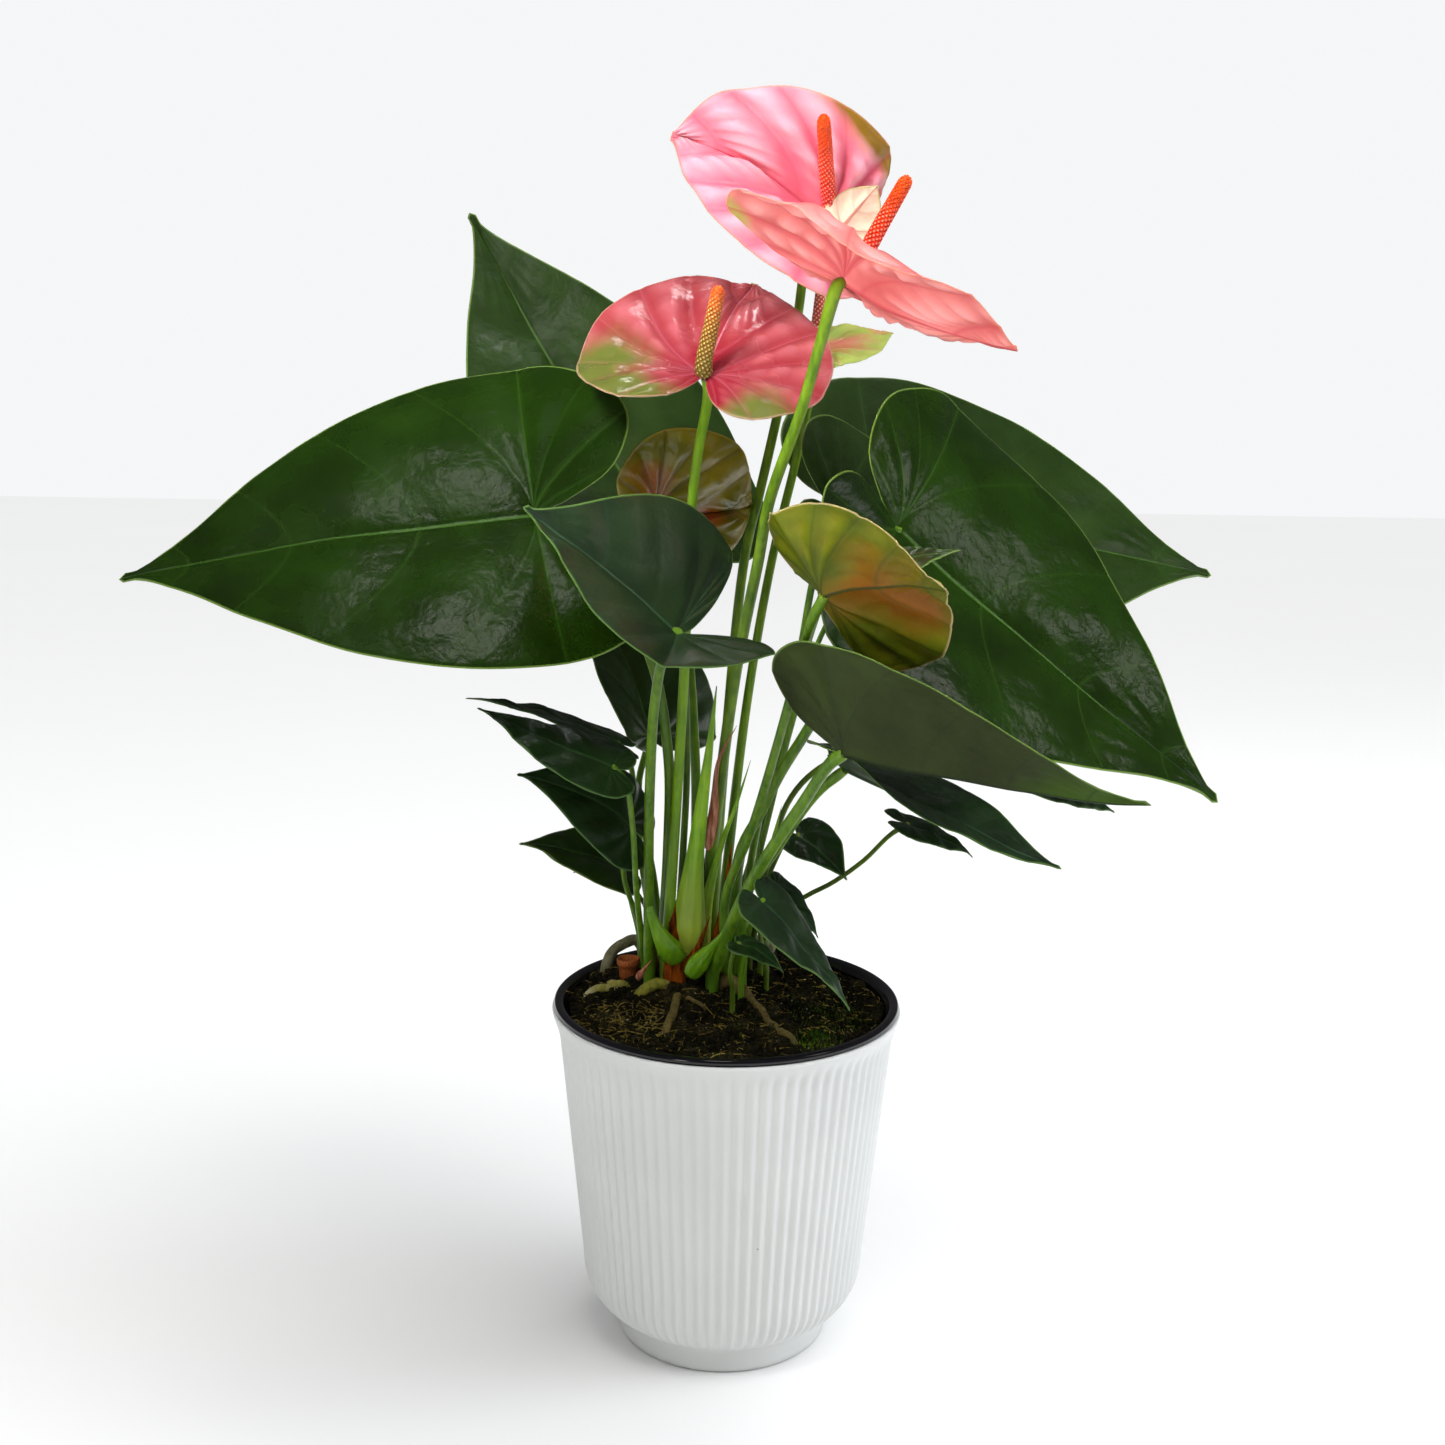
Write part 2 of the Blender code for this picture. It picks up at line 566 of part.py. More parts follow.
def build_nursery_pot(collection, cutters, material):
    """The black pot inside: a lip on the white rim, a tapered wall and a floor with drain holes."""
    lip_low = RIM_HEIGHT + GAP
    lip_top = lip_low + NURSERY_LIP_THICKNESS
    sides = NURSERY_SIDES
    rings = [
        (NURSERY_FLOOR_RADIUS, NURSERY_FLOOR_HEIGHT, sides),
        (NURSERY_TOP_RADIUS, lip_low - 3.0, sides),
        (NURSERY_TOP_RADIUS + 0.6, lip_low, sides),
        (NURSERY_LIP_RADIUS - 0.5, lip_low, sides),
        (NURSERY_LIP_RADIUS, lip_low + 0.8, sides),
        (NURSERY_LIP_RADIUS - 0.7, lip_top - 0.2, sides),
        (NURSERY_LIP_RADIUS - 2.0, lip_top, sides),
        (NURSERY_TOP_RADIUS - 0.3, lip_top - 0.8, sides),
        (NURSERY_TOP_RADIUS - NURSERY_WALL, lip_low - 3.5, sides),
        (NURSERY_FLOOR_RADIUS - NURSERY_WALL, NURSERY_FLOOR_HEIGHT + 1.5, sides),
    ]
    pot = pot_from_rings("nursery_pot", rings, collection, material)
    for i in range(DRAIN_HOLES):
        angle = 2 * math.pi * (i + 0.5) / DRAIN_HOLES
        bm = bmesh.new()
        bmesh.ops.create_cone(bm, cap_ends=True, segments=8, radius1=DRAIN_RADIUS * MM,
                              radius2=DRAIN_RADIUS * MM, depth=8 * MM)
        place = Vector((DRAIN_CIRCLE * math.cos(angle), DRAIN_CIRCLE * math.sin(angle),
                        NURSERY_FLOOR_HEIGHT)) * MM
        bmesh.ops.translate(bm, verts=bm.verts, vec=place)
        object_from_bmesh(bm, f"drain_{i}", cutters)
    boolean(pot, "DIFFERENCE", collection=cutters)
    return pot


def build_soil(collection, material):
    """The peat that fills the nursery pot, heaped round the plant's crown."""
    bm = bmesh.new()
    inset = NURSERY_WALL + GAP + 0.2
    centre = bm.verts.new(Vector((0, 0, soil_height(0, 0))) * MM)
    loops = []
    top_radius = NURSERY_TOP_RADIUS - inset - 0.7
    for i in range(1, SOIL_RINGS + 1):
        radius = top_radius * i / SOIL_RINGS
        loop = []
        for j in range(SOIL_SIDES):
            angle = 2 * math.pi * j / SOIL_SIDES
            x, y = radius * math.cos(angle), radius * math.sin(angle)
            loop.append(bm.verts.new(Vector((x, y, soil_height(x, y))) * MM))
        loops.append(loop)
    floor = ring(bm, NURSERY_FLOOR_RADIUS - inset, NURSERY_FLOOR_HEIGHT + 1.5 + GAP, SOIL_SIDES)
    for j in range(SOIL_SIDES):
        bm.faces.new([centre, loops[0][j], loops[0][(j + 1) % SOIL_SIDES]])
    for inner, outer in zip(loops[:-1], loops[1:]):
        join_rings(bm, outer, inner)
    join_rings(bm, floor, loops[-1])
    bm.faces.new(floor[::-1])
    bmesh.ops.triangulate(bm, faces=bm.faces)
    bmesh.ops.recalc_face_normals(bm, faces=bm.faces)
    return object_from_bmesh(bm, "soil", collection, material)


def build_leaf(name, blade, stalk, outline, collection, material, fine):
    """One leaf: its blade and its petiole, grown together."""
    leaf = blade_object(blade, outline, name, collection, 12 if fine else 8, 2)
    count = 9 if fine else 5
    upward = turned_to(blade.heading, blade.pitch, blade.roll)[:, 2]
    end = np.array(blade.at) + 0.5 * upward
    points = stalk_points(stalk, [tuple(end)], count)
    petiole = tube_object(points, stalk_radii(stalk, count), name + "_petiole", collection)
    boolean(leaf, "UNION", other=petiole)
    leaf.data.materials.clear()
    leaf.data.materials.append(material)
    return leaf


def spadix_object(base, tip, facing, radius, name, collection, material):
    """A spadix: a tapering spike whose florets stand out as a spiral lattice of low knobs."""
    base, tip, facing = (np.array(value, float) for value in (base, tip, facing))
    way = smooth_path([base, base + 3.0 * facing, base + 0.55 * (tip - base) + 1.5 * facing, tip],
                      SPADIX_ROWS)
    bm = bmesh.new()
    loops = []
    for i, centre in enumerate(way):
        share = i / (SPADIX_ROWS - 1)
        axis = way[min(i + 1, SPADIX_ROWS - 1)] - way[max(i - 1, 0)]
        axis /= np.linalg.norm(axis)
        side = np.cross(axis, (0.0, 1.0, 0.0))
        side /= np.linalg.norm(side)
        front = np.cross(axis, side)
        full = radius * (1.0 - 0.25 * share)
        full *= min(1.0, 0.4 + 5.0 * share) * math.sqrt(max(0.12, 1.0 - max(0.0, share - 0.85)
                                                           / 0.16))
        loop = []
        for j in range(SPADIX_COLUMNS):
            angle = 2 * math.pi * (j + 0.5 * (i % 2)) / SPADIX_COLUMNS
            reach = full + (FLORET_RELIEF if (i + j) % 2 else -FLORET_RELIEF)
            reach = max(reach, 0.5)
            spot = centre + reach * (math.cos(angle) * side + math.sin(angle) * front)
            loop.append(bm.verts.new(Vector(spot) * MM))
        loops.append(loop)
    for lower, upper in zip(loops[:-1], loops[1:]):
        join_rings(bm, lower, upper)
    bm.faces.new(loops[0][::-1])
    bm.faces.new(loops[-1])
    bmesh.ops.triangulate(bm, faces=bm.faces)
    bmesh.ops.recalc_face_normals(bm, faces=bm.faces)
    return object_from_bmesh(bm, name, collection, material)


def build_flower(name, blade, stalk, tip, radius, collection, materials):
    """One bloom: the spathe, the stalk that ends just below it and the spadix just above it."""
    spathe = blade_object(blade, SPATHE_OUTLINE, name + "_spathe", collection, 13, 3)
    spathe.data.materials.append(materials["spathe"])
    upward = turned_to(blade.heading, blade.pitch, blade.roll)[:, 2]
    at = np.array(blade.at)
    count = 10
    ends = [tuple(at - 6.0 * upward), tuple(at - (0.5 * BLADE_THICKNESS + GAP + 0.5) * upward)]
    points = stalk_points(stalk, ends, count)
    peduncle = tube_object(points, stalk_radii(stalk, count), name + "_stalk", collection)
    peduncle.data.materials.append(materials["stalk"])
    steep = math.radians(max(max(blade.fold), 0.0))
    seat = GAP + 0.5 * BLADE_THICKNESS / math.cos(steep) + 0.4 * radius * math.tan(steep)
    spadix_object(at + seat * upward, tip, upward, radius, name + "_spadix", collection,
                  materials["spadix"])


def sheath_object(name, route, width, depth, collection, material):
    """A sheath: a slim flattened spindle that is widest near its foot."""
    rows = 9
    way = smooth_path(route, rows)
    bm = bmesh.new()
    loops = []
    for i, centre in enumerate(way):
        share = i / (rows - 1)
        swell = 0.72 + 0.28 * math.sin(math.pi * min(1.0, share / 0.5))
        taper = swell * (1.0 - max(0.0, share - 0.25) / 0.78)
        axis = way[min(i + 1, rows - 1)] - way[max(i - 1, 0)]
        axis /= np.linalg.norm(axis)
        side = np.cross(axis, (0.0, -1.0, 0.0))
        side /= np.linalg.norm(side)
        front = np.cross(side, axis)
        loop = []
        for j in range(8):
            angle = 2 * math.pi * j / 8
            spot = centre + 0.5 * width * taper * math.cos(angle) * side
            spot = spot + 0.5 * max(depth * taper, 0.7) * math.sin(angle) * front
            loop.append(bm.verts.new(Vector(spot) * MM))
        loops.append(loop)
    for lower, upper in zip(loops[:-1], loops[1:]):
        join_rings(bm, lower, upper)
    bm.faces.new(loops[0][::-1])
    bm.faces.new(loops[-1])
    bmesh.ops.triangulate(bm, faces=bm.faces)
    bmesh.ops.recalc_face_normals(bm, faces=bm.faces)
    return object_from_bmesh(bm, name, collection, material)


def root_points(route, count):
    """A root's way over the soil, in and out of it at its ends."""
    return [(x, y, soil_height(x, y) + above) for x, y, above in smooth_path(route, count)]


def build_plug(collection, material):
    """The small brown rooting plug that shows beside the crown: a tapered cup shape with a band."""
    x, y = PLUG_PLACE
    foot = soil_height(x, y) - PLUG_SUNK
    rings = [
        (PLUG_FOOT_RADIUS, 0.0, 12),
        (PLUG_FOOT_RADIUS + 0.6, PLUG_HEIGHT - 2.4, 12),
        (PLUG_TOP_RADIUS, PLUG_HEIGHT - 2.0, 12),
        (PLUG_TOP_RADIUS, PLUG_HEIGHT, 12),
        (PLUG_TOP_RADIUS - 0.8, PLUG_HEIGHT, 12),
        (PLUG_TOP_RADIUS - 1.2, PLUG_HEIGHT - 1.5, 12),
    ]
    plug = pot_from_rings("rooting_plug", rings, collection, material)
    for vertex in plug.data.vertices:
        vertex.co += Vector((x, y, foot)) * MM
    return plug


def cut_soil(soil, cutters):
    """Cut the plain holes that stems, sheaths, roots and plug stand in, a little wider than they."""
    for name, (_, stalk) in LEAVES.items():
        stem_cutter(stalk, name, cutters)
    for name, (_, stalk, _, _) in FLOWERS.items():
        stem_cutter(stalk, name, cutters)
    for name, (radius, route) in ROOTS.items():
        points = root_points(route, 7)
        tube_object(points, [radius + GAP + 0.15] * 7, name + "_groove", cutters)
    for name, (route, width, _) in SHEATHS.items():
        if route[0][2] < STRAIGHT_STEM_TOP:
            x, y, low = route[0]
            column_cutter(x, y, low - GAP, 0.5 * width + 0.4, name, cutters, 10)
    x, y = PLUG_PLACE
    low = soil_height(x, y) - PLUG_SUNK - GAP
    column_cutter(x, y, low, PLUG_TOP_RADIUS + GAP, "plug", cutters, 12)
    boolean(soil, "DIFFERENCE", collection=cutters)


def stem_cutter(stalk, name, cutters):
    """An upright bore for one stem."""
    radius = 1.15 * stalk.radius + 0.55
    column_cutter(*stalk.foot, STEM_FOOT - GAP, radius, name, cutters, BORE_SIDES)


def column_cutter(x, y, low, radius, name, cutters, sides):
    """An upright column from the given height to well above the soil."""
    high = 140.0
    bm = bmesh.new()
    bmesh.ops.create_cone(bm, cap_ends=True, segments=sides, radius1=radius * MM,
                          radius2=radius * MM, depth=(high - low) * MM)
    bmesh.ops.translate(bm, verts=bm.verts, vec=Vector((x, y, 0.5 * (low + high))) * MM)
    object_from_bmesh(bm, name + "_hole", cutters)


def main():
    """Build the whole plant and its pots."""
    clear_scene()
    parts = new_collection("potted_anthurium")
    cutters = new_collection("cutters")
    materials = {
        "cover": make_material("white_satin_plastic", (0.80, 0.82, 0.83), 0.38),
        "nursery": make_material("black_gloss_plastic", (0.012, 0.011, 0.014), 0.25),
        "soil": make_material("peat", (0.030, 0.021, 0.013), 0.95),
        "leaf": make_material("leaf_green", (0.020, 0.070, 0.012), 0.38),
        "young": make_material("leaf_bronze", (0.20, 0.15, 0.015), 0.35),
        "stalk": make_material("stalk_green", (0.10, 0.20, 0.012), 0.45),
        "spathe": make_material("spathe_pink", (0.72, 0.12, 0.15), 0.35),
        "spadix": make_material("spadix_orange", (0.75, 0.11, 0.03), 0.50),
        "sheath": make_material("sheath_green", (0.22, 0.33, 0.03), 0.45),
        "bract": make_material("bract_brown", (0.28, 0.12, 0.05), 0.70),
        "root": make_material("root_grey", (0.22, 0.19, 0.11), 0.80),
        "plug": make_material("plug_brown", (0.35, 0.12, 0.04), 0.70),
    }
    build_cover_pot(parts, materials["cover"])
    build_nursery_pot(parts, cutters, materials["nursery"])
    soil = build_soil(parts, materials["soil"])
    cut_soil(soil, cutters)
    leaves = {}
    for name, (blade, stalk) in LEAVES.items():
        young = name.startswith("young")
        outline = SPATHE_OUTLINE if young else LEAF_OUTLINE
        material = materials["young" if young else "leaf"]
        fine = blade.length > 50 or young
        leaves[name] = build_leaf(name, blade, stalk, outline, parts, material, fine)
    for guest, host in GROWN_TOGETHER.items():
        boolean(leaves[host], "UNION", other=leaves[guest])
    for name, (blade, stalk, tip, radius) in FLOWERS.items():
        build_flower(name, blade, stalk, tip, radius, parts, materials)
    for name, (route, width, depth) in SHEATHS.items():
        kind = "bract" if name.startswith("bract") else "sheath"
        sheath_object(name, route, width, depth, parts, materials[kind])
    for name, (radius, route) in ROOTS.items():
        root = tube_object(root_points(route, 7), [radius] * 7, name, parts)
        root.data.materials.append(materials["root"])
    build_plug(parts, materials["plug"])


main()
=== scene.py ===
"""A potted anthurium dressed for its picture: veined leaves, waxy blooms, peat and a ribbed pot.

Sizes in the classes are millimetres and degrees, as in the solids that the pieces stand for, and
MM turns them into metres where a mesh is made.
"""

import logging
import math
from dataclasses import dataclass, field
from enum import Enum
from functools import cache, partial
from typing import Any

import bmesh
import bpy
import numpy as np
from mathutils import Matrix, Vector, noise


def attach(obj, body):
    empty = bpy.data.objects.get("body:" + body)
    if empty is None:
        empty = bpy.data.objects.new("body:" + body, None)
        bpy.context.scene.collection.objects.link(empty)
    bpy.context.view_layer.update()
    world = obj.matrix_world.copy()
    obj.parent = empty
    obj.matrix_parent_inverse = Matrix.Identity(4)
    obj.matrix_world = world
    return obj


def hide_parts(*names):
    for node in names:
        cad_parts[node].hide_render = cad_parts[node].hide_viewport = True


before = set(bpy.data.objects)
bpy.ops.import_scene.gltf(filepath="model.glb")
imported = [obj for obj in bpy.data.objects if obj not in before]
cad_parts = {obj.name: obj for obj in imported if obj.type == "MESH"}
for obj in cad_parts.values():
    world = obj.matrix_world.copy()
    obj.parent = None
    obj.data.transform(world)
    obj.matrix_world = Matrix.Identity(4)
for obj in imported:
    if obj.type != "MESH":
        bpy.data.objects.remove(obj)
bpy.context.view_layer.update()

MM = 0.001
Array = np.ndarray
Spot = tuple[float, float, float]
log = logging.getLogger("anthurium")

# Node types that are used again and again, and the settings of a mix of colours
MATH, RANGE, MIX = "ShaderNodeMath", "ShaderNodeMapRange", "ShaderNodeMix"
NOISE, CELLS, BUMP = "ShaderNodeTexNoise", "ShaderNodeTexVoronoi", "ShaderNodeBump"
COORDS, MAPPING, READ = "ShaderNodeTexCoord", "ShaderNodeMapping", "ShaderNodeAttribute"
VECTOR, SPLIT, UNITE = "ShaderNodeVectorMath", "ShaderNodeSeparateXYZ", "ShaderNodeCombineXYZ"
COLOURS = {"data_type": "RGBA", "out": 2}


def linear(code: str) -> tuple[float, float, float, float]:
    """Turn an sRGB hex colour into linear values.

    Args:
        code: the colour as #rrggbb.

    Returns:
        Red, green, blue and an alpha of one.
    """
    values = [int(code[i:i + 2], 16) / 255 for i in (1, 3, 5)]
    return (*(v / 12.92 if v <= 0.04045 else ((v + 0.055) / 1.055) ** 2.4 for v in values), 1.0)


def feed(tree: bpy.types.NodeTree, node: bpy.types.Node, links: dict[Any, Any]) -> None:
    """Give a node's inputs their links or values.

    Args:
        tree: the tree that holds the node.
        node: the node.
        links: for each input's name or number a socket, a list of sockets or a plain value.
    """
    for key, value in links.items():
        if isinstance(value, (bpy.types.NodeSocket, list)):
            for source in value if isinstance(value, list) else [value]:
                tree.links.new(source, node.inputs[key])
        else:
            node.inputs[key].default_value = value


def add(tree: bpy.types.NodeTree, kind: str, *inputs: Any, out: int | str | None = 0,
        **settings: Any) -> Any:
    """Add one node to a tree.

    Args:
        tree: the tree that gets the node.
        kind: the node's type name.
        inputs: what its inputs get, in order; a dict gives it by name or number (see feed).
        out: name or number of the output that is asked for, or None for all of them.
        settings: the node's own properties.

    Returns:
        The output or outputs.
    """
    made = tree.nodes.new(kind)
    for key, value in settings.items():
        setattr(made, key, value)
    for i, value in enumerate(inputs):
        feed(tree, made, value if isinstance(value, dict) else {i: value})
    return made.outputs if out is None else made.outputs[out]


def smooth_path(points: Any, count: int) -> Array:
    """Spread points along a smooth curve through the given ones.

    Args:
        points: the points that the curve passes.
        count: how many points to give back.

    Returns:
        The new points, one a row.
    """
    points = np.array(points, float)
    steps = np.sqrt(np.linalg.norm(np.diff(points, axis=0), axis=1))
    knots = np.concatenate([[0.0], np.cumsum(steps)])
    ways = np.diff(points, axis=0) / steps[:, None]
    slopes = np.concatenate([ways[:1], ways])
    for i in range(1, len(points) - 1):
        slopes[i] = (ways[i - 1] * steps[i] + ways[i] * steps[i - 1]) / (steps[i] + steps[i - 1])
    curve = []
    for knot in np.linspace(0.0, knots[-1], count):
        i = min(int(np.searchsorted(knots, knot, side="right")) - 1, len(points) - 2)
        step, u = steps[i], (knot - knots[i]) / steps[i]
        curve.append((2 * u**3 - 3 * u**2 + 1) * points[i]
                     + (u**3 - 2 * u**2 + u) * step * slopes[i]
                     + (3 * u**2 - 2 * u**3) * points[i + 1]
                     + (u**3 - u**2) * step * slopes[i + 1])
    return np.array(curve)


def unit(ways: Array) -> Array:
    """Give directions the length of one."""
    return ways / np.maximum(np.linalg.norm(ways, axis=-1, keepdims=True), 1e-9)


def bell(off: Array, width: float) -> Array:
    """Fall softly from one where off is nought, to about a third at the width."""
    return np.exp(-(off / width) ** 2)


# ---------------------------------------------------------------------------------- finishes


@dataclass(frozen=True)
class Finish:
    """A finish of the plant or its pots; each kind paints its own nodes."""

    name: str

    @cache
    def material(self) -> bpy.types.Material:
        """Give the finish's material, made the first time it is asked for."""
        made = bpy.data.materials.new(self.name)
        made.use_nodes = True
        tree = made.node_tree
        feed(tree, tree.nodes["Principled BSDF"], self.paint(tree, partial(add, tree)))
        return made

    def paint(self, tree: bpy.types.NodeTree, make: partial) -> dict[str, Any]:
        """Add the finish's nodes.

        Args:
            tree: the material's node tree.
            make: adds a node to it (see add).

        Returns:
            What the shader's inputs get.
        """
        raise NotImplementedError

    def coated(self, make: partial, under: Any, *coats: tuple[Any, str]) -> Any:
        """Lay coats of colour over each other.

        Args:
            make: adds a node to the tree.
            under: the colour below them, as code or socket.
            coats: for each coat, how much of it shows, or None for not at all, and its colour.

        Returns:
            The socket of the whole.
        """
        skin = linear(under) if isinstance(under, str) else under
        for cover, colour in coats:
            if cover is not None:
                skin = make(MIX, {0: cover, 6: skin, 7: linear(colour)}, **COLOURS)
        return skin


@dataclass(frozen=True)
class BladeSkin(Finish):
    """Living leaf or spathe: cuticle over mottled tissue, veins, a fine network and a pale hem.

    The cuticle gives soft broad highlights, the tissue under it a depth that paint lacks. The
    shade in the creases, a sheen on the pillows and part of the hem's pale line are painted light
    and shade.
    """

    light: str
    deep: str
    vein: str
    # The hem's pale line: partly the margin's own paler tissue, partly a painted rim highlight
    hem: str
    under_light: str
    under_deep: str
    patch: str
    gloss: float = 0.30
    veining: float = 0.5
    network: float = 0.12
    flesh: float = 0.05
    core: str = "#000000"
    blush: float = 0.0
    shine: float = 0.3
    # Strength of the painted crease shade, laid in the vein's tone beside each vein
    painted_crease_shade: float = 0.25
    # Strength and colour (top) of a painted sheen on the pillow tops
    puff: float = 0.0
    top: str = "#ffffff"

    def paint(self, tree: bpy.types.NodeTree, make: partial) -> dict[str, Any]:
        """Add the finish's nodes (see Finish.paint)."""
        spot = make(COORDS, out="Object")
        read = {key: make(READ, out="Fac", attribute_name=key)
                for key in ("vein", "rib", "edge", "upper", "patch", "reach", "puff")}
        # Tissue is mottled in clouds about 22 mm across, skin cells swell about 1 mm wide, and
        # leathery puckers are about 5 mm wide
        cloud, grain, pucker = (
            make(NOISE, {"Vector": spot, "Scale": 1 / size, "Detail": detail})
            for size, detail in ((0.022, 3.0), (0.0009, 2.0), (0.0055, 2.0)))
        # A blush at the middle; painted shade in the creases, deeper in colour where the tissue
        # sinks to a vein (3 mm to each side); a painted sheen, paler where it is stretched over a
        # pillow; the veins, midrib and hem, whose pale line is partly the margin's own tissue and
        # partly a painted rim highlight
        blush, crease_shade_mask, pillow_sheen_mask, line, rib, hem = (
            make(RANGE, read[key], *span) if any(span[2:]) else None for key, *span in (
            ("reach", 0.12, 0.72, self.blush, 0.0), ("vein", 0.2, 3.2, self.painted_crease_shade, 0.0),
            ("puff", 0.05, 0.8, 0.0, self.puff), ("vein", 0.15, 0.75, self.veining, 0.0),
            ("rib", 0.35, 0.8, 0.9, 0.0), ("edge", 0.08, 0.45, 0.55, 0.0)))
        shade = make(RANGE, cloud, 0.3, 0.7)
        upper = self.coated(make, self.deep, (shade, self.light), (blush, self.core))
        under = self.coated(make, self.under_deep, (shade, self.under_light))
        flesh = make(MIX, {0: read["upper"], 6: under, 7: upper}, **COLOURS)
        # A wash of another colour whose edge breaks up with the clouds
        ragged = make(MATH, cloud, 0.5, operation="SUBTRACT")
        ragged = make(MATH, ragged, 1.3, read["patch"], operation="MULTIPLY_ADD")
        ragged = make(RANGE, ragged, 0.22, 0.8)
        wash = make(MATH, read["patch"], 3.0, operation="MULTIPLY", use_clamp=True)
        wash = make(MATH, ragged, wash, operation="MULTIPLY")
        # The finest veins close cells about 2.4 mm wide
        cells = make(CELLS, {"Vector": spot, "Scale": 1 / 0.0024}, out="Distance",
                     feature="DISTANCE_TO_EDGE")
        net = make(RANGE, cells, 0.0, 0.16, 1.0, 0.0)
        fine = make(MATH, net, self.network, operation="MULTIPLY")
        veins = make(MATH, line, rib, operation="MAXIMUM")
        veins = make(MATH, veins, fine, operation="MAXIMUM")
        # Over the tissue: painted pillow sheen, patch wash, painted crease shade, veins, and the
        # hem with its partly painted rim highlight
        flesh = self.coated(make, flesh, (pillow_sheen_mask, self.top), (wash, self.patch),
                            (crease_shade_mask, self.vein), (veins, self.vein), (hem, self.hem))
        # Cuticle: glossier above than below, with dull clouds of dust and water marks
        dull = make(RANGE, cloud, 0.3, 0.7, self.gloss - 0.02, self.gloss + 0.05)
        rough = make(MIX, {0: read["upper"], 2: 0.5, 3: dull}, data_type="FLOAT")
        height = make(MATH, net, -0.7, grain, operation="MULTIPLY_ADD")
        leather = make(BUMP, {"Strength": 0.8, "Distance": 0.0006, "Height": pucker})
        bump = make(BUMP, {"Strength": 0.22, "Distance": 0.0001, "Height": height,
                           "Normal": leather})
        return {"Base Color": flesh, "Roughness": rough, "Normal": bump,
                "Specular IOR Level": self.shine, "Subsurface Weight": self.flesh,
                "Subsurface Radius": (0.9, 0.6, 0.25), "Subsurface Scale": 0.0012}


@dataclass(frozen=True)
class StemSkin(Finish):
    """Stem, sheath or root tissue: long fibres under the skin show as streaks along it.

    The colour changes from foot to tip, and warts or scars show where the skin is old.
    """

    foot: str
    light: str
    deep: str
    tip: str
    foot_end: float = 0.06
    tip_start: float = 0.97
    rough: float = 0.38
    scars: float = 0.0

    def paint(self, tree: bpy.types.NodeTree, make: partial) -> dict[str, Any]:
        """Add the finish's nodes (see Finish.paint)."""
        spot = make(COORDS, out="Object")
        along = make(READ, out="Fac", attribute_name="along")
        # Fibre bundles about 0.8 mm apart are drawn out upwards; scars and dirt are spots about
        # 1.5 mm wide
        drawn = make(MAPPING, {"Vector": spot, "Scale": (1.0, 1.0, 0.06)})
        fibre, cloud, dirt = (
            make(NOISE, {"Vector": at, "Scale": 1 / size, "Detail": detail, "Roughness": uneven})
            for at, size, detail, uneven in ((drawn, 0.0016, 3.0, 0.6), (spot, 0.011, 4.0, 0.5),
                                             (spot, 0.0022, 3.0, 0.7)))
        blend = make(RANGE, make(MATH, fibre, cloud, operation="ADD"), 0.8, 1.2)
        low = make(RANGE, along, 0.4 * self.foot_end, self.foot_end, 1.0, 0.0)
        high = make(RANGE, along, self.tip_start, 1.0)
        dirt = make(RANGE, dirt, 0.54, 0.66, 0.0, self.scars)
        return {"Base Color": self.coated(make, self.deep, (blend, self.light), (low, self.foot),
                                          (high, self.tip), (dirt, "#2b2112")),
                "Roughness": make(RANGE, cloud, 0.3, 0.7, self.rough - 0.05, self.rough + 0.08),
                "Normal": make(BUMP, {"Strength": 0.4, "Distance": 0.0002, "Height": fibre}),
                "Specular IOR Level": 0.35, "Subsurface Weight": 0.08,
                "Subsurface Radius": (0.7, 0.8, 0.3), "Subsurface Scale": 0.0015}


@dataclass(frozen=True)
class SpadixSkin(Finish):
    """A spadix: a spike of tiny florets, waxy, each with a pale stigma at its crown."""

    low: str
    middle: str
    high: str
    stigma: str
    dots: float = 0.8
    dots_end: float = 0.75

    def paint(self, tree: bpy.types.NodeTree, make: partial) -> dict[str, Any]:
        """Add the finish's nodes (see Finish.paint)."""
        along, crown = (make(READ, out="Fac", attribute_name=key) for key in ("along", "crown"))
        # Florets differ a little from one to the next, cells about 1.4 mm
        change = make(NOISE, {"Vector": make(COORDS, out="Object"), "Scale": 1 / 0.0014,
                              "Detail": 2.0})
        change = make(RANGE, change, 0.35, 0.65, 0.0, 0.35)
        stage = make(RANGE, along, self.dots_end - 0.2, self.dots_end, self.dots, 0.0)
        pale = make(MATH, make(RANGE, crown, 0.74, 0.86), stage, operation="MULTIPLY")
        skin = self.coated(make, self.low, (make(RANGE, along, 0.1, 0.5), self.middle),
                           (make(RANGE, along, 0.55, 1.0), self.high), (change, "#7a1a10"),
                           (pale, self.stigma))
        return {"Base Color": skin, "Roughness": make(RANGE, change, 0.0, 0.35, 0.36, 0.5),
                "Subsurface Weight": 0.12, "Subsurface Radius": (1.0, 0.3, 0.15),
                "Subsurface Scale": 0.001}


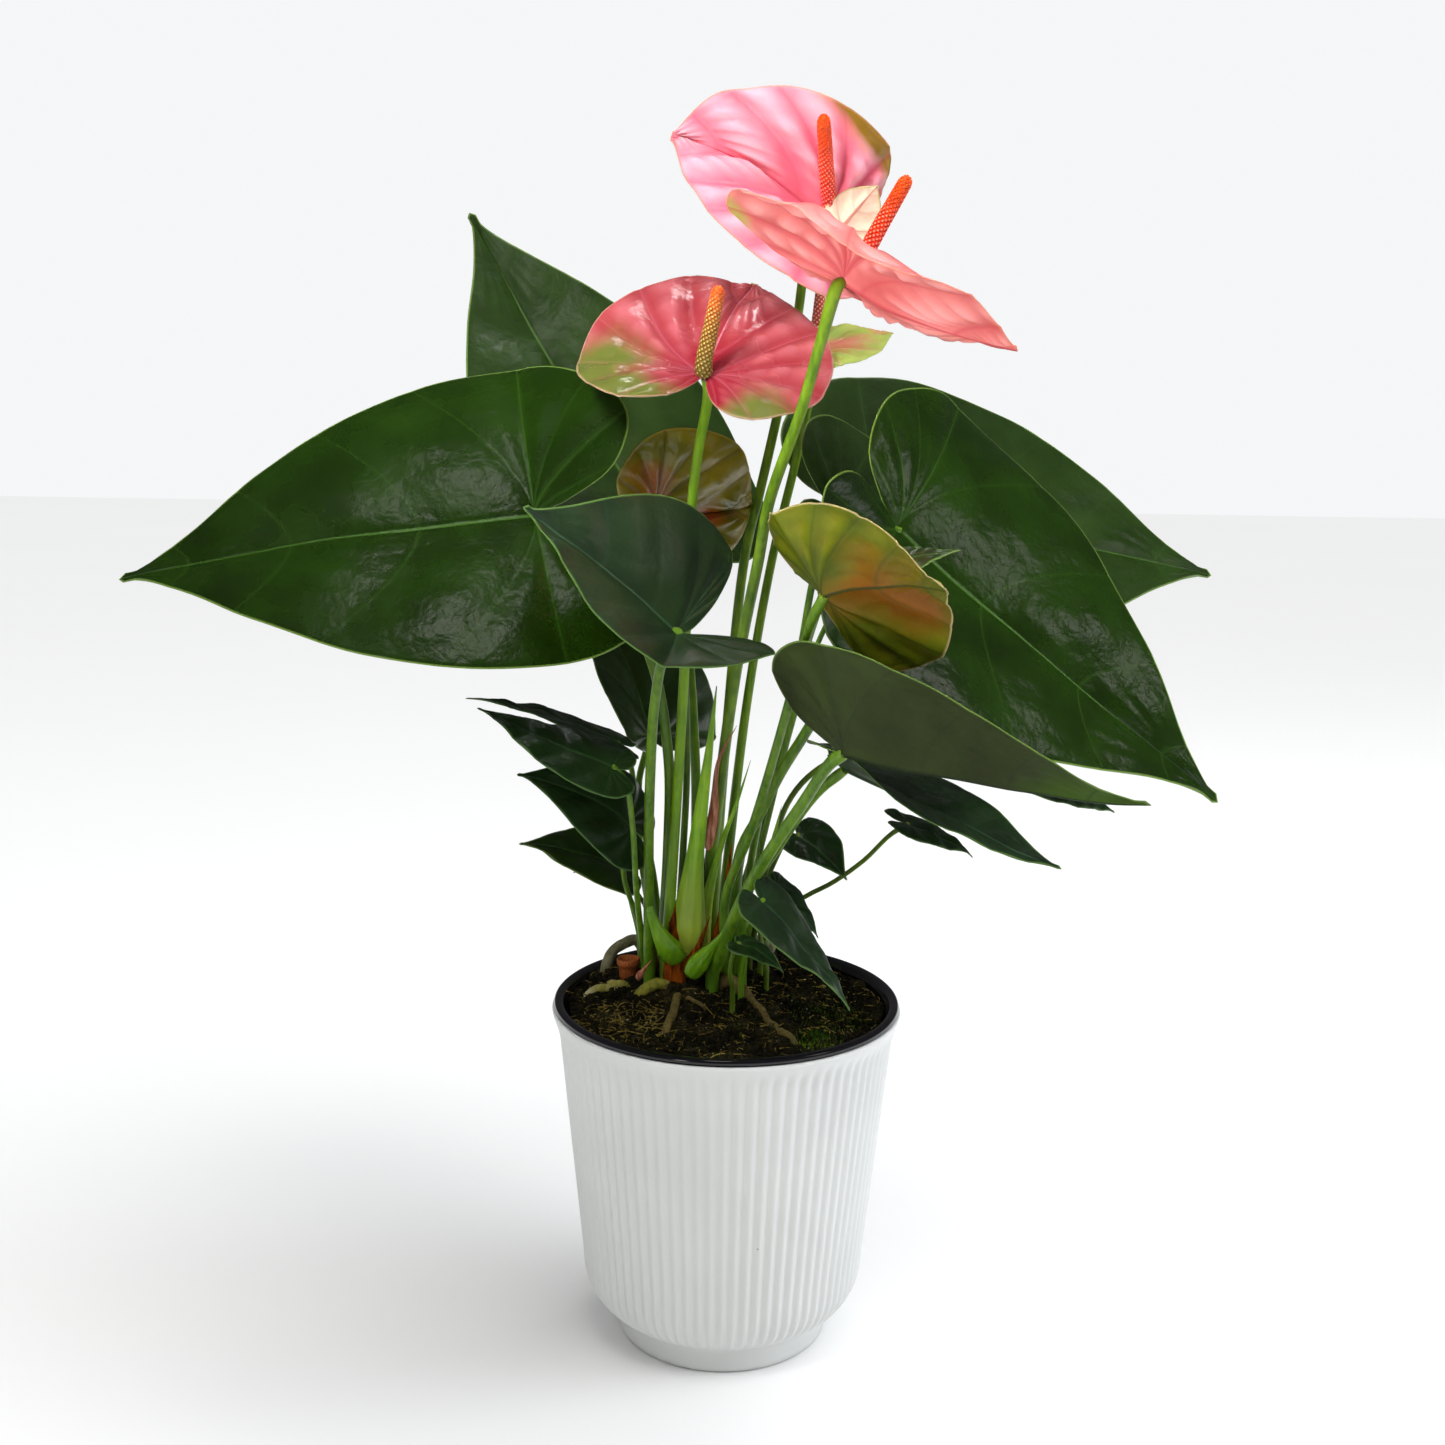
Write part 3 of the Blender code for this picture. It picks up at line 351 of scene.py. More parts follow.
@dataclass(frozen=True)
class GrainSkin(Finish):
    """Loose or fibrous ground: peat, moss, bract paper or pressed plug fibre, dull and uneven."""

    dark: str
    middle: str
    light: str
    size: float
    drawn: Spot = (1.0, 1.0, 1.0)
    rough: float = 0.9
    depth: float = 0.3

    def paint(self, tree: bpy.types.NodeTree, make: partial) -> dict[str, Any]:
        """Add the finish's nodes (see Finish.paint)."""
        spot = make(MAPPING, {"Vector": make(COORDS, out="Object"), "Scale": self.drawn})
        grain, patch = (
            make(NOISE, {"Vector": spot, "Scale": 1 / (size * MM), "Detail": detail,
                         "Roughness": uneven})
            for size, detail, uneven in ((self.size, 4.0, 0.7), (9 * self.size, 3.0, 0.5)))
        low = make(RANGE, grain, 0.38, 0.62)
        high = make(MATH, make(RANGE, patch, 0.5, 0.68), low, operation="MULTIPLY")
        return {"Base Color": self.coated(make, self.dark, (low, self.middle), (high, self.light)),
                "Roughness": make(RANGE, grain, 0.3, 0.7, self.rough - 0.12, self.rough),
                "Normal": make(BUMP, {"Strength": 0.7, "Distance": self.depth * MM,
                                      "Height": grain}),
                "Specular IOR Level": 0.08}


@dataclass(frozen=True)
class PotSkin(Finish):
    """Injection-moulded polypropylene: satin or gloss, faint clouds, a few specks and scuffs."""

    body: str
    cloud: str
    speck: str
    rough: float
    specks: float
    scuffs: float

    def paint(self, tree: bpy.types.NodeTree, make: partial) -> dict[str, Any]:
        """Add the finish's nodes (see Finish.paint)."""
        spot = make(COORDS, out="Object")
        # Handling scuffs are thin level scratches, drawn about 1 mm wide so that they show, and
        # the mould texture is a fine spark-eroded grain, drawn 0.5 mm wide
        drawn = make(MAPPING, {"Vector": spot, "Scale": (0.12, 0.12, 1.0)})
        cloud, scuff, grain = (
            make(NOISE, {"Vector": at, "Scale": 1 / size, "Detail": detail, "Roughness": uneven})
            for at, size, detail, uneven in ((spot, 0.045, 3.0, 0.5), (drawn, 0.0012, 2.0, 0.8),
                                             (spot, 0.0005, 1.0, 0.5)))
        # Specks of peat about 0.5 mm wide, on average 14 mm apart, most of them missing
        dots = make(CELLS, {"Vector": spot, "Scale": 1 / 0.014}, out=None, feature="F1")
        near = make(RANGE, dots["Distance"], 0.012, 0.03, self.specks, 0.0)
        some = make("ShaderNodeSeparateColor", dots["Color"])
        some = make(MATH, some, 0.72, operation="GREATER_THAN")
        near = make(MATH, near, some, operation="MULTIPLY")
        scuff = make(RANGE, scuff, 0.58, 0.72, 0.0, self.scuffs)
        rough = make(RANGE, cloud, 0.3, 0.7, self.rough - 0.04, self.rough + 0.06)
        return {"Base Color": self.coated(
                    make, self.body, (make(RANGE, cloud, 0.35, 0.65), self.cloud),
                    (near, self.speck), (scuff, self.cloud)),
                "Roughness": make(MATH, scuff, 0.5, rough, operation="MULTIPLY_ADD"),
                "Normal": make(BUMP, {"Strength": 0.12, "Distance": 0.00005, "Height": grain})}


class Skin(Enum):
    """The finishes of leaves and spathes."""

    GLOSSY = BladeSkin("leaf_adult_glossy", "#193201", "#102201", "#365818", "#86a84a", "#344a16",
        "#263710", "#3f7a14", 0.26, 0.4, 0.03, shine=0.4, painted_crease_shade=0.12)
    SHADED = BladeSkin("leaf_adult_shaded", "#22380e", "#162806", "#38541f", "#7c9a4c", "#314118",
        "#243112", "#31501a", 0.34, 0.4, 0.03, shine=0.5, painted_crease_shade=0.1)
    SLATE = BladeSkin("leaf_old_slate_green", "#22361c", "#172715", "#36523a", "#668c3e",
        "#2c3f1e", "#202f16", "#3a6a2a", 0.36, 0.3, 0.06, shine=0.4, painted_crease_shade=0.1)
    OLIVE = BladeSkin("leaf_under_olive", "#2a4018", "#1d3012", "#1c2a10", "#7fa04c", "#323f16",
        "#272f10", "#3a5414", 0.36, 0.5, 0.06, shine=0.15, painted_crease_shade=0.3)
    DARK = BladeSkin("leaf_small_dark", "#1a3012", "#10230c", "#2f4c26", "#55793c", "#28391a",
        "#1c2c12", "#31501a", 0.36, 0.25, 0.05, painted_crease_shade=0.1)
    BRONZE = BladeSkin("leaf_young_bronze", "#94801a", "#5c5c0c", "#3c2a08", "#a8963c", "#8a8020",
        "#606010", "#983c12", 0.24, 0.5, 0.04, 0.1, shine=0.5, painted_crease_shade=0.3)
    RUSSET = BladeSkin("leaf_young_russet", "#5e6c0a", "#405004", "#2c3608", "#d0b88a", "#626c0e",
        "#465206", "#7c4a08", 0.3, 0.5, 0.06, 0.1, shine=0.25, painted_crease_shade=0.35, puff=0.3,
        top="#98901c")
    PINK = BladeSkin("spathe_pink_waxy", "#ec8898", "#d4647a", "#c04458", "#c98a6a", "#e8828c",
        "#d8626f", "#80601c", 0.2, 0.2, 0.02, 0.2, "#be3c52", 0.7, 0.6, 0.25, 0.36, "#ffc8d2")
    CORAL = BladeSkin("spathe_coral", "#da807c", "#c8625e", "#c04850", "#d08068", "#dc7c7a",
        "#c25856", "#b4ac5c", 0.3, 0.4, 0.02, 0.2, painted_crease_shade=0.6, puff=0.55, top="#ffb4b0")
    CRIMSON = BladeSkin("spathe_crimson", "#a64648", "#862a30", "#b86472", "#c09880", "#c8606a",
        "#a84450", "#5e6628", 0.24, 0.25, 0.02, 0.18, "#820c20", 0.9, 0.5, 0.15, 0.3, "#d8848a")
    GREENED = BladeSkin("spathe_greened", "#b4c060", "#86a83e", "#c06858", "#9ab060", "#98ad54",
        "#7c9640", "#dd7a6c", 0.34, 0.4, 0.1, 0.15)
    CREAM = BladeSkin("spathe_lobe_cream", "#98885e", "#907454", "#b06c5c", "#8a9a4c", "#e8d0b4",
        "#dcb4a0", "#a8b060", 0.34, 0.5, 0.1, 0.2)


class Stem(Enum):
    """The finishes of stalks, sheaths and roots."""

    GREEN = StemSkin("petiole_green", "#587c18", "#5e8216", "#3e620a", "#608624")
    BRIGHT = StemSkin("petiole_bright", "#48701a", "#62861c", "#40660e", "#6c8c26")
    OLIVE = StemSkin("petiole_slim_olive", "#66782a", "#587018", "#405812", "#70843a")
    PEDUNCLE = StemSkin("flower_stalk", "#557a14", "#739418", "#4e720c", "#6c6a34", 0.05, 0.985)
    # A lighter copy of the flower stalk's skin: painted light for a stalk that stands in its
    # spathe's shade
    PEDUNCLE_PAINTED_LIT = StemSkin("flower_stalk_painted_lit", "#6a9016", "#80aa1c", "#64900e", "#6c6a34", 0.05, 0.985)
    SHEATH = StemSkin("sheath_pale", "#b0c444", "#90bc20", "#6ca010", "#5f9412", 0.5, 0.9, 0.32)
    WEDGE = StemSkin("sheath_wedge", "#5a8614", "#729c1a", "#568410", "#80a82a", 0.2, 0.9, 0.3)
    ROOT_GREY = StemSkin("root_bark_grey", "#5f5a40", "#827e60", "#5c583e", "#8c886a", 0.1, 0.9,
        0.75, 0.5)
    ROOT_TAN = StemSkin("root_tan", "#3c3418", "#62562c", "#40361a", "#7c7040", 0.1, 0.9, 0.75,
        0.7)
    ROOT_CREAM = StemSkin("root_cream", "#c8c29a", "#9c9450", "#7a7430", "#6a6c22", 0.35, 0.8, 0.7,
        0.3)
    STUB = StemSkin("stem_stub", "#6a6820", "#86842c", "#5c5c1a", "#8a7058", 0.2, 0.8, 0.7, 0.5)


class Spike(Enum):
    """The finishes of the spadices."""

    ORANGE = SpadixSkin("spadix_orange", "#d42c3c", "#ea3808", "#ee5814", "#f08c74", 1.0, 0.8)
    RIPE = SpadixSkin("spadix_ripe", "#6a6420", "#96641c", "#f06a28", "#ccc878", 0.7, 0.95)
    CORAL = SpadixSkin("spadix_coral", "#d8605c", "#e0584a", "#dc6048", "#f8d0c0", 0.9, 1.1)


class Ground(Enum):
    """The finishes of loose and fibrous stuff."""

    PEAT = GrainSkin("peat_black_moist", "#090804", "#1a180e", "#34301a", 1.2)
    FIBRE = GrainSkin("peat_fibre", "#3a3016", "#786830", "#a89a50", 1.6)
    FLECK = GrainSkin("peat_fleck", "#4c4432", "#8a8470", "#c4c0b0", 0.8)
    MOSS = GrainSkin("moss", "#1f3009", "#3f5c14", "#6a8a24", 1.4)
    BRACT = GrainSkin("bract_paper", "#7a4630", "#a8705a", "#c99a80", 0.9, (1.0, 1.0, 0.08), 0.75,
        0.15)
    CORE = GrainSkin("rhizome_husk", "#3c1a04", "#8a4208", "#b8600e", 0.9, (1.0, 1.0, 0.12), 0.7,
        0.25)
    # Dark old husk that also stands for painted shade in the gaps between the petioles
    HUSK_AND_SHADE = GrainSkin("old_husk_and_painted_shade", "#160c05", "#32200e", "#4c3416", 0.9, (1.0, 1.0, 0.12), 0.8, 0.25)
    PLUG = GrainSkin("plug_fibre", "#7a3f1e", "#a35a2e", "#b8744a", 0.7, (1.0, 1.0, 1.0), 0.8,
        0.12)


class Pot(Enum):
    """The finishes of the pots."""

    WHITE = PotSkin("polypropylene_white_satin", "#d9dbd9", "#d4d6d4", "#6a665c", 0.34, 0.8, 0.0)
    BLACK = PotSkin("polypropylene_black_gloss", "#0d0c0f", "#151318", "#3a3226", 0.1, 0.4, 0.04)


# ------------------------------------------------------------------------- geometry node trees


def new_tree(name: str, **inputs: str) -> tuple[bpy.types.NodeTree, partial, Any]:
    """Start a geometry node tree.

    Args:
        name: the tree's name.
        inputs: socket type for each input's name; every tree gets a Skin too.

    Returns:
        The tree, what adds a node to it, and its inputs by name.
    """
    tree = bpy.data.node_groups.new(name, "GeometryNodeTree")
    for key, kind in {**inputs, "Skin": "Material"}.items():
        tree.interface.new_socket(key, in_out="INPUT", socket_type="NodeSocket" + kind)
    tree.interface.new_socket("Made", in_out="OUTPUT", socket_type="NodeSocketGeometry")
    make = partial(add, tree)
    return tree, make, make("NodeGroupInput", out=None)


def close_tree(tree: bpy.types.NodeTree, given: Any, made: Any,
               smooth: bool = True) -> bpy.types.NodeTree:
    """End a geometry node tree: a real mesh in the given finish.

    Args:
        tree: the tree.
        given: its inputs by name.
        made: the socket of what it made.
        smooth: whether its faces are shaded smoothly.

    Returns:
        The tree.
    """
    made = add(tree, "GeometryNodeRealizeInstances", made)
    if smooth:
        made = add(tree, "GeometryNodeSetShadeSmooth", {0: made, 2: True})
    made = add(tree, "GeometryNodeSetMaterial", {0: made, 2: given["Skin"]})
    add(tree, "NodeGroupOutput", made, out=None)
    return tree


def run_tree(thing: bpy.types.Object, tree: bpy.types.NodeTree, **values: Any) -> None:
    """Let a tree work on an object and keep the result as its plain mesh.

    Args:
        thing: the object whose mesh goes in.
        tree: the geometry node tree.
        values: value for each input's name.
    """
    worker = thing.modifiers.new("grow", "NODES")
    worker.node_group = tree
    for item in tree.interface.items_tree:
        if item.in_out == "INPUT" and item.name in values:
            worker[item.identifier] = values[item.name]
    bpy.context.view_layer.update()
    ready = thing.evaluated_get(bpy.context.evaluated_depsgraph_get())
    mesh = bpy.data.meshes.new_from_object(ready)
    thing.modifiers.clear()
    thing.data = mesh


@cache
def stem_tree() -> bpy.types.NodeTree:
    """Make the tree that sweeps a round stem along a path of points with a thickness each."""
    tree, make, given = new_tree("stem_along_path", Path="Geometry", Sides="Int")
    line = make("GeometryNodeMeshToCurve", given["Path"])
    thick = make("GeometryNodeInputNamedAttribute", "thickness")
    section = make("GeometryNodeCurvePrimitiveCircle", {0: given["Sides"], 4: 1.0})
    return close_tree(tree, given, make("GeometryNodeCurveToMesh", line, section, thick, True))


@cache
def spadix_tree() -> bpy.types.NodeTree:
    """Make the tree that sets florets on a spike in the plant's own spiral of 137.5 degrees."""
    tree, make, given = new_tree("florets_on_spike", Path="Geometry", Florets="Int", Size="Float")
    line = make("GeometryNodeMeshToCurve", given["Path"])
    thick = make("GeometryNodeInputNamedAttribute", "thickness")
    section = make("GeometryNodeCurvePrimitiveCircle", {0: 20, 4: 1.0})
    core = make("GeometryNodeCurveToMesh", line, section, thick, True)
    # Where along the spike each floret sits, and which way it looks
    number = make("GeometryNodeInputIndex")
    share = make(MATH, number, given["Florets"], operation="DIVIDE")
    share = make(MATH, share, 0.985, 0.01, operation="MULTIPLY_ADD")
    at = make("GeometryNodeSampleCurve", line, thick, share, out=None, mode="FACTOR")
    turn = make(MATH, number, math.radians(137.508), operation="MULTIPLY")
    outward = make("ShaderNodeVectorRotate", {
        "Vector": at["Normal"], "Axis": at["Tangent"], "Angle": turn}, rotation_type="AXIS_ANGLE")
    reach = make(VECTOR, {0: outward, "Scale": at["Value"]}, operation="SCALE")
    place = make(VECTOR, at["Position"], reach, operation="ADD")
    marked = partial(make, "GeometryNodeStoreNamedAttribute", data_type="FLOAT", domain="POINT")
    dots = make("GeometryNodePoints", given["Florets"])
    dots = make("GeometryNodeSetPosition", {0: dots, 2: place})
    dots = marked({0: dots, "Name": "along", "Value": share})
    # A floret is a flattened knob
    high = make(SPLIT, make("GeometryNodeInputPosition"), out=2)
    knob = make("GeometryNodeMeshUVSphere", 6, 4, 1.0)
    knob = marked({0: knob, "Name": "crown", "Value": high})
    flat = make(MATH, given["Size"], 0.34, operation="MULTIPLY")
    florets = make("GeometryNodeInstanceOnPoints", {
        0: dots, 2: knob, 5: make("FunctionNodeAlignRotationToVector", {2: outward}, axis="Z"),
        6: make(UNITE, given["Size"], given["Size"], flat)})
    return close_tree(tree, given, make("GeometryNodeJoinGeometry", [core, florets]))


class Grain(Enum):
    """What is strewn: how far each may lean, a hair's thickness and its bend."""

    CRUMB = (math.pi, 0.0, ())
    FIBRE = (0.28, 0.2, ((-3.4, 0, 0), (0.4, 2.0, 0.9), (3.2, 0, 0.1)))
    TUFT = (0.5, 0.16, ((0, 0, -0.5), (0.1, 0.2, 0.9), (0.7, 0.4, 1.8)))


@cache
def ground_tree(grain: Grain) -> bpy.types.NodeTree:
    """Make a tree that strews crumbs, fibres or moss tufts over the upward faces of a ground.

    Args:
        grain: what is strewn.

    Returns:
        The tree; its Keep input says whether the ground stays in the result.
    """
    tree, make, given = new_tree(
        "strewn_" + grain.name.lower(), Ground="Geometry", Density="Float", Smallest="Float",
        Largest="Float", Seed="Int", Centre="Vector", Reach="Float", Keep="Bool")
    level = make(MATH, make(SPLIT, make("GeometryNodeInputNormal"), out=2), 0.35,
                 operation="GREATER_THAN")
    gone = make(VECTOR, make("GeometryNodeInputPosition"), given["Centre"], out="Value",
                operation="DISTANCE")
    inside = make(MATH, gone, given["Reach"], operation="LESS_THAN")
    dots = make("GeometryNodeDistributePointsOnFaces", {
        0: given["Ground"], 1: make(MATH, level, inside, operation="MULTIPLY"),
        "Density": given["Density"], "Seed": given["Seed"]})
    lean, slim, bend = grain.value
    if grain is Grain.CRUMB:
        thing = make("GeometryNodeMeshIcoSphere", 1.0, 1)
    else:
        line = make("GeometryNodeCurveQuadraticBezier", 4, *bend)
        section = make("GeometryNodeCurvePrimitiveCircle", {0: 3, 4: 1.0})
        thing = make("GeometryNodeCurveToMesh", line, section, slim, True)
    turn = make("FunctionNodeRandomValue", (-lean, -lean, -math.pi), (lean, lean, math.pi),
                {"Seed": 5}, data_type="FLOAT_VECTOR")
    size = make("FunctionNodeRandomValue", {2: given["Smallest"], 3: given["Largest"], "Seed": 9},
                out=1, data_type="FLOAT")
    strewn = make("GeometryNodeInstanceOnPoints", {
        0: dots, 2: thing, 5: make("FunctionNodeEulerToRotation", turn), 6: size})
    kept = make("GeometryNodeSwitch", {0: given["Keep"], 2: given["Ground"]},
                input_type="GEOMETRY")
    return close_tree(tree, given, make("GeometryNodeJoinGeometry", [kept, strewn]), False)


@cache
def turned_tree() -> bpy.types.NodeTree:
    """Make the tree that turns a profile into a pot and stands ribs out of its wall.

    The profile's points are (radius, 0, height), and their attribute ribbed says how far the ribs
    stand out there.
    """
    tree, make, given = new_tree("turned_with_ribs", Profile="Geometry", Rows="Int", Sides="Int",
                                 Ribs="Int", Depth="Float")
    around = make(MATH, given["Sides"], 1.0, operation="ADD")
    last = make(MATH, given["Rows"], 1.0, operation="SUBTRACT")
    place = make("GeometryNodeInputPosition")
    sheet = make("GeometryNodeMeshGrid", 1.0, 1.0, given["Rows"], around)
    # The sheet's length runs along the profile, its width round the axis
    flat = make(SPLIT, place, out=None)
    row = flat[0]
    for operation, *other in (("ADD", 0.5), ("MULTIPLY", last), ("ROUND",)):
        row = make(MATH, row, *other, operation=operation)
    turn = make(MATH, flat[1], 2 * math.pi, operation="MULTIPLY")
    spot = make("GeometryNodeSampleIndex", given["Profile"], place, row,
                data_type="FLOAT_VECTOR", domain="POINT")
    spot = make(SPLIT, spot, out=None)
    ribbed = make("GeometryNodeInputNamedAttribute", "ribbed")
    ribbed = make("GeometryNodeSampleIndex", given["Profile"], ribbed, row, data_type="FLOAT",
                  domain="POINT")
    reach = make(MATH, given["Ribs"], 0.5, operation="MULTIPLY")
    for operation, *other in (
            ("MULTIPLY", turn), ("COSINE",), ("ABSOLUTE",), ("POWER", 1.6), ("SUBTRACT", 1.0),
            ("MULTIPLY", given["Depth"]), ("MULTIPLY_ADD", ribbed, spot[0])):
        reach = make(MATH, reach, *other, operation=operation)
    aside, ahead = (
        make(MATH, make(MATH, turn, operation=way), reach, operation="MULTIPLY")
        for way in ("COSINE", "SINE"))
    sheet = make("GeometryNodeSetPosition", {0: sheet, 2: make(UNITE, aside, ahead, spot[2])})
    sheet = make("GeometryNodeMergeByDistance", {0: sheet, "Distance": 2e-6})
    return close_tree(tree, given, sheet)


def placed(name: str, data: bpy.types.ID) -> bpy.types.Object:
    """Put a mesh, lamp or camera in the scene.

    Args:
        name: the object's name.
        data: what it shows.

    Returns:
        The object, at the origin.
    """
    thing = bpy.data.objects.new(name, data)
    bpy.context.scene.collection.objects.link(thing)
    return thing


def new_piece(name: str, spots: Array, faces: Any = (), edges: Any = (),
              **marks: Array) -> bpy.types.Object:
    """Make an object from points in millimetres.

    Args:
        name: the piece's name.
        spots: its points.
        faces: corner numbers of each face.
        edges: end numbers of each loose edge.
        marks: a number for each point, by attribute name.

    Returns:
        The object, at the origin.
    """
    mesh = bpy.data.meshes.new(name)
    mesh.from_pydata((np.asarray(spots, float) * MM).tolist(), edges, faces)
    for key, values in marks.items():
        mark = mesh.attributes.new(key, "FLOAT", "POINT")
        mark.data.foreach_set("value", np.asarray(values, np.float32))
    mesh.update()
    return placed(name, mesh)


def swept(name: str, way: Array, radii: Array, skin: Finish, sides: int = 14,
          tree: bpy.types.NodeTree | None = None, **more: Any) -> bpy.types.Object:
    """Grow a round piece along a way.

    Args:
        name: the piece's name.
        way: points along it.
        radii: its radius at each point.
        skin: its finish.
        sides: how many sides its section has.
        tree: which tree grows it, if not the stem's.
        more: further inputs of the tree.

    Returns:
        The piece.
    """
    count = len(way)
    thing = new_piece(name, way, edges=[(i, i + 1) for i in range(count - 1)],
                      thickness=np.asarray(radii) * MM, along=np.linspace(0.0, 1.0, count))
    run_tree(thing, tree or stem_tree(), Sides=sides, Skin=skin.material(), **more)
    return thing


def joined(first: bpy.types.Object, *others: bpy.types.Object) -> bpy.types.Object:
    """Make one object of several.

    Args:
        first: the object that stays.
        others: the objects that go into it.

    Returns:
        The first object.
    """
    parts = [first, *others]
    with bpy.context.temp_override(active_object=first, selected_objects=parts,
                                   selected_editable_objects=parts):
        bpy.ops.object.join()
    return first


def finish_piece(thing: bpy.types.Object, slot: str, *nodes: str) -> None:
    """Let a piece ride on the plant and stand for its solids.

    Args:
        thing: the piece.
        slot: the record's material slot; not used.
        nodes: the solids that it replaces.
    """
    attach(thing, "root")
    if nodes:
        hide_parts(*nodes)
    log.info("%s: %d faces, stands for %s", thing.name, len(thing.data.polygons),
             ", ".join(nodes) or "nothing of its own")


# ------------------------------------------------------------------------------------- blades


class Outline(Enum):
    """Half outlines from the tip round to the notch: along / length, across / half width."""

    LEAF = ((1.00, 0.00), (0.94, 0.045), (0.82, 0.20), (0.64, 0.50), (0.40, 0.83), (0.14, 1.00),
            (-0.08, 0.97), (-0.24, 0.74), (-0.30, 0.45), (-0.22, 0.16), (-0.03, 0.00))
    SPATHE = ((1.00, 0.00), (0.96, 0.05), (0.88, 0.20), (0.72, 0.52), (0.48, 0.86), (0.18, 1.00),
              (-0.10, 0.96), (-0.30, 0.73), (-0.38, 0.42), (-0.26, 0.13), (-0.03, 0.00))


@dataclass(frozen=True)
class Patch:
    """A soft spot of the patch colour: its place and reach along and across the blade."""

    along: float
    across: float
    long: float
    wide: float
    weight: float = 1.0


@dataclass
class Blade:
    """A heart-shaped blade; pairs are (left, right) seen from the stalk with the upper face up."""

    at: Spot
    heading: float
    pitch: float
    roll: float
    length: float
    broad: tuple[float, float]
    lobes: tuple[float, float] = (1.0, 1.0)
    droop: float = 15.0
    fold: tuple[float, float] = (10.0, 10.0)
    arch: tuple[float, float] = (-20.0, -20.0)
    twist: float = 0.0
    lift: tuple[float, float] = (0.0, 0.0)

    def turn(self) -> Array:
        """Give the rotation whose columns are the midrib, the left side and the upper face."""
        (ca, sa), (cb, sb), (cc, sc) = (
            (math.cos(math.radians(value)), math.sin(math.radians(value)))
            for value in (self.heading, self.pitch, self.roll))
        about_z = np.array([[ca, -sa, 0], [sa, ca, 0], [0, 0, 1]])
        about_y = np.array([[cb, 0, -sb], [0, 1, 0], [sb, 0, cb]])
        return about_z @ about_y @ np.array([[1, 0, 0], [0, cc, -sc], [0, sc, cc]])

    def place(self, along: Array, across: Array, side: int) -> Array:
        """Carry spots of the flat blade to their places.

        Args:
            along: distance from the stalk towards the tip.
            across: distance from the midrib.
            side: 0 for the left half, 1 for the right.

        Returns:
            The places, one a row.
        """
        share = np.maximum(along, 0.0) / self.length
        droop = math.radians(self.droop) or 1e-9
        x = self.length * np.sin(droop * share) / droop
        z = -self.length * (1 - np.cos(droop * share)) / droop
        behind, lift = np.maximum(-along, 0.0), math.radians(self.lift[side])
        x, z = x - behind * math.cos(lift), z + behind * math.sin(lift)
        fold = math.radians(self.fold[side])
        arch = (math.radians(self.arch[side]) or 1e-9) / (self.broad[side] * self.length)
        out = (np.sin(fold + arch * across) - math.sin(fold)) / arch * (1 if side == 0 else -1)
        up = (math.cos(fold) - np.cos(fold + arch * across)) / arch
        twist = math.radians(self.twist) * share
        y = out * np.cos(twist) - up * np.sin(twist)
        up = out * np.sin(twist) + up * np.cos(twist)
        lean = -droop * share
        local = np.stack([x - up * np.sin(lean), y, z + up * np.cos(lean)], -1)
        return local @ self.turn().T + np.array(self.at)

    def facing(self, along: Array, across: Array, side: int) -> Array:
        """Give the upper face's direction at spots of the flat blade (see place)."""
        step = 0.05
        ahead = self.place(along + step, across, side) - self.place(along - step, across, side)
        aside = self.place(along, across + step, side) - self.place(along, across - step, side)
        out = np.cross(ahead, aside) * (1 if side == 0 else -1)
        return unit(out)


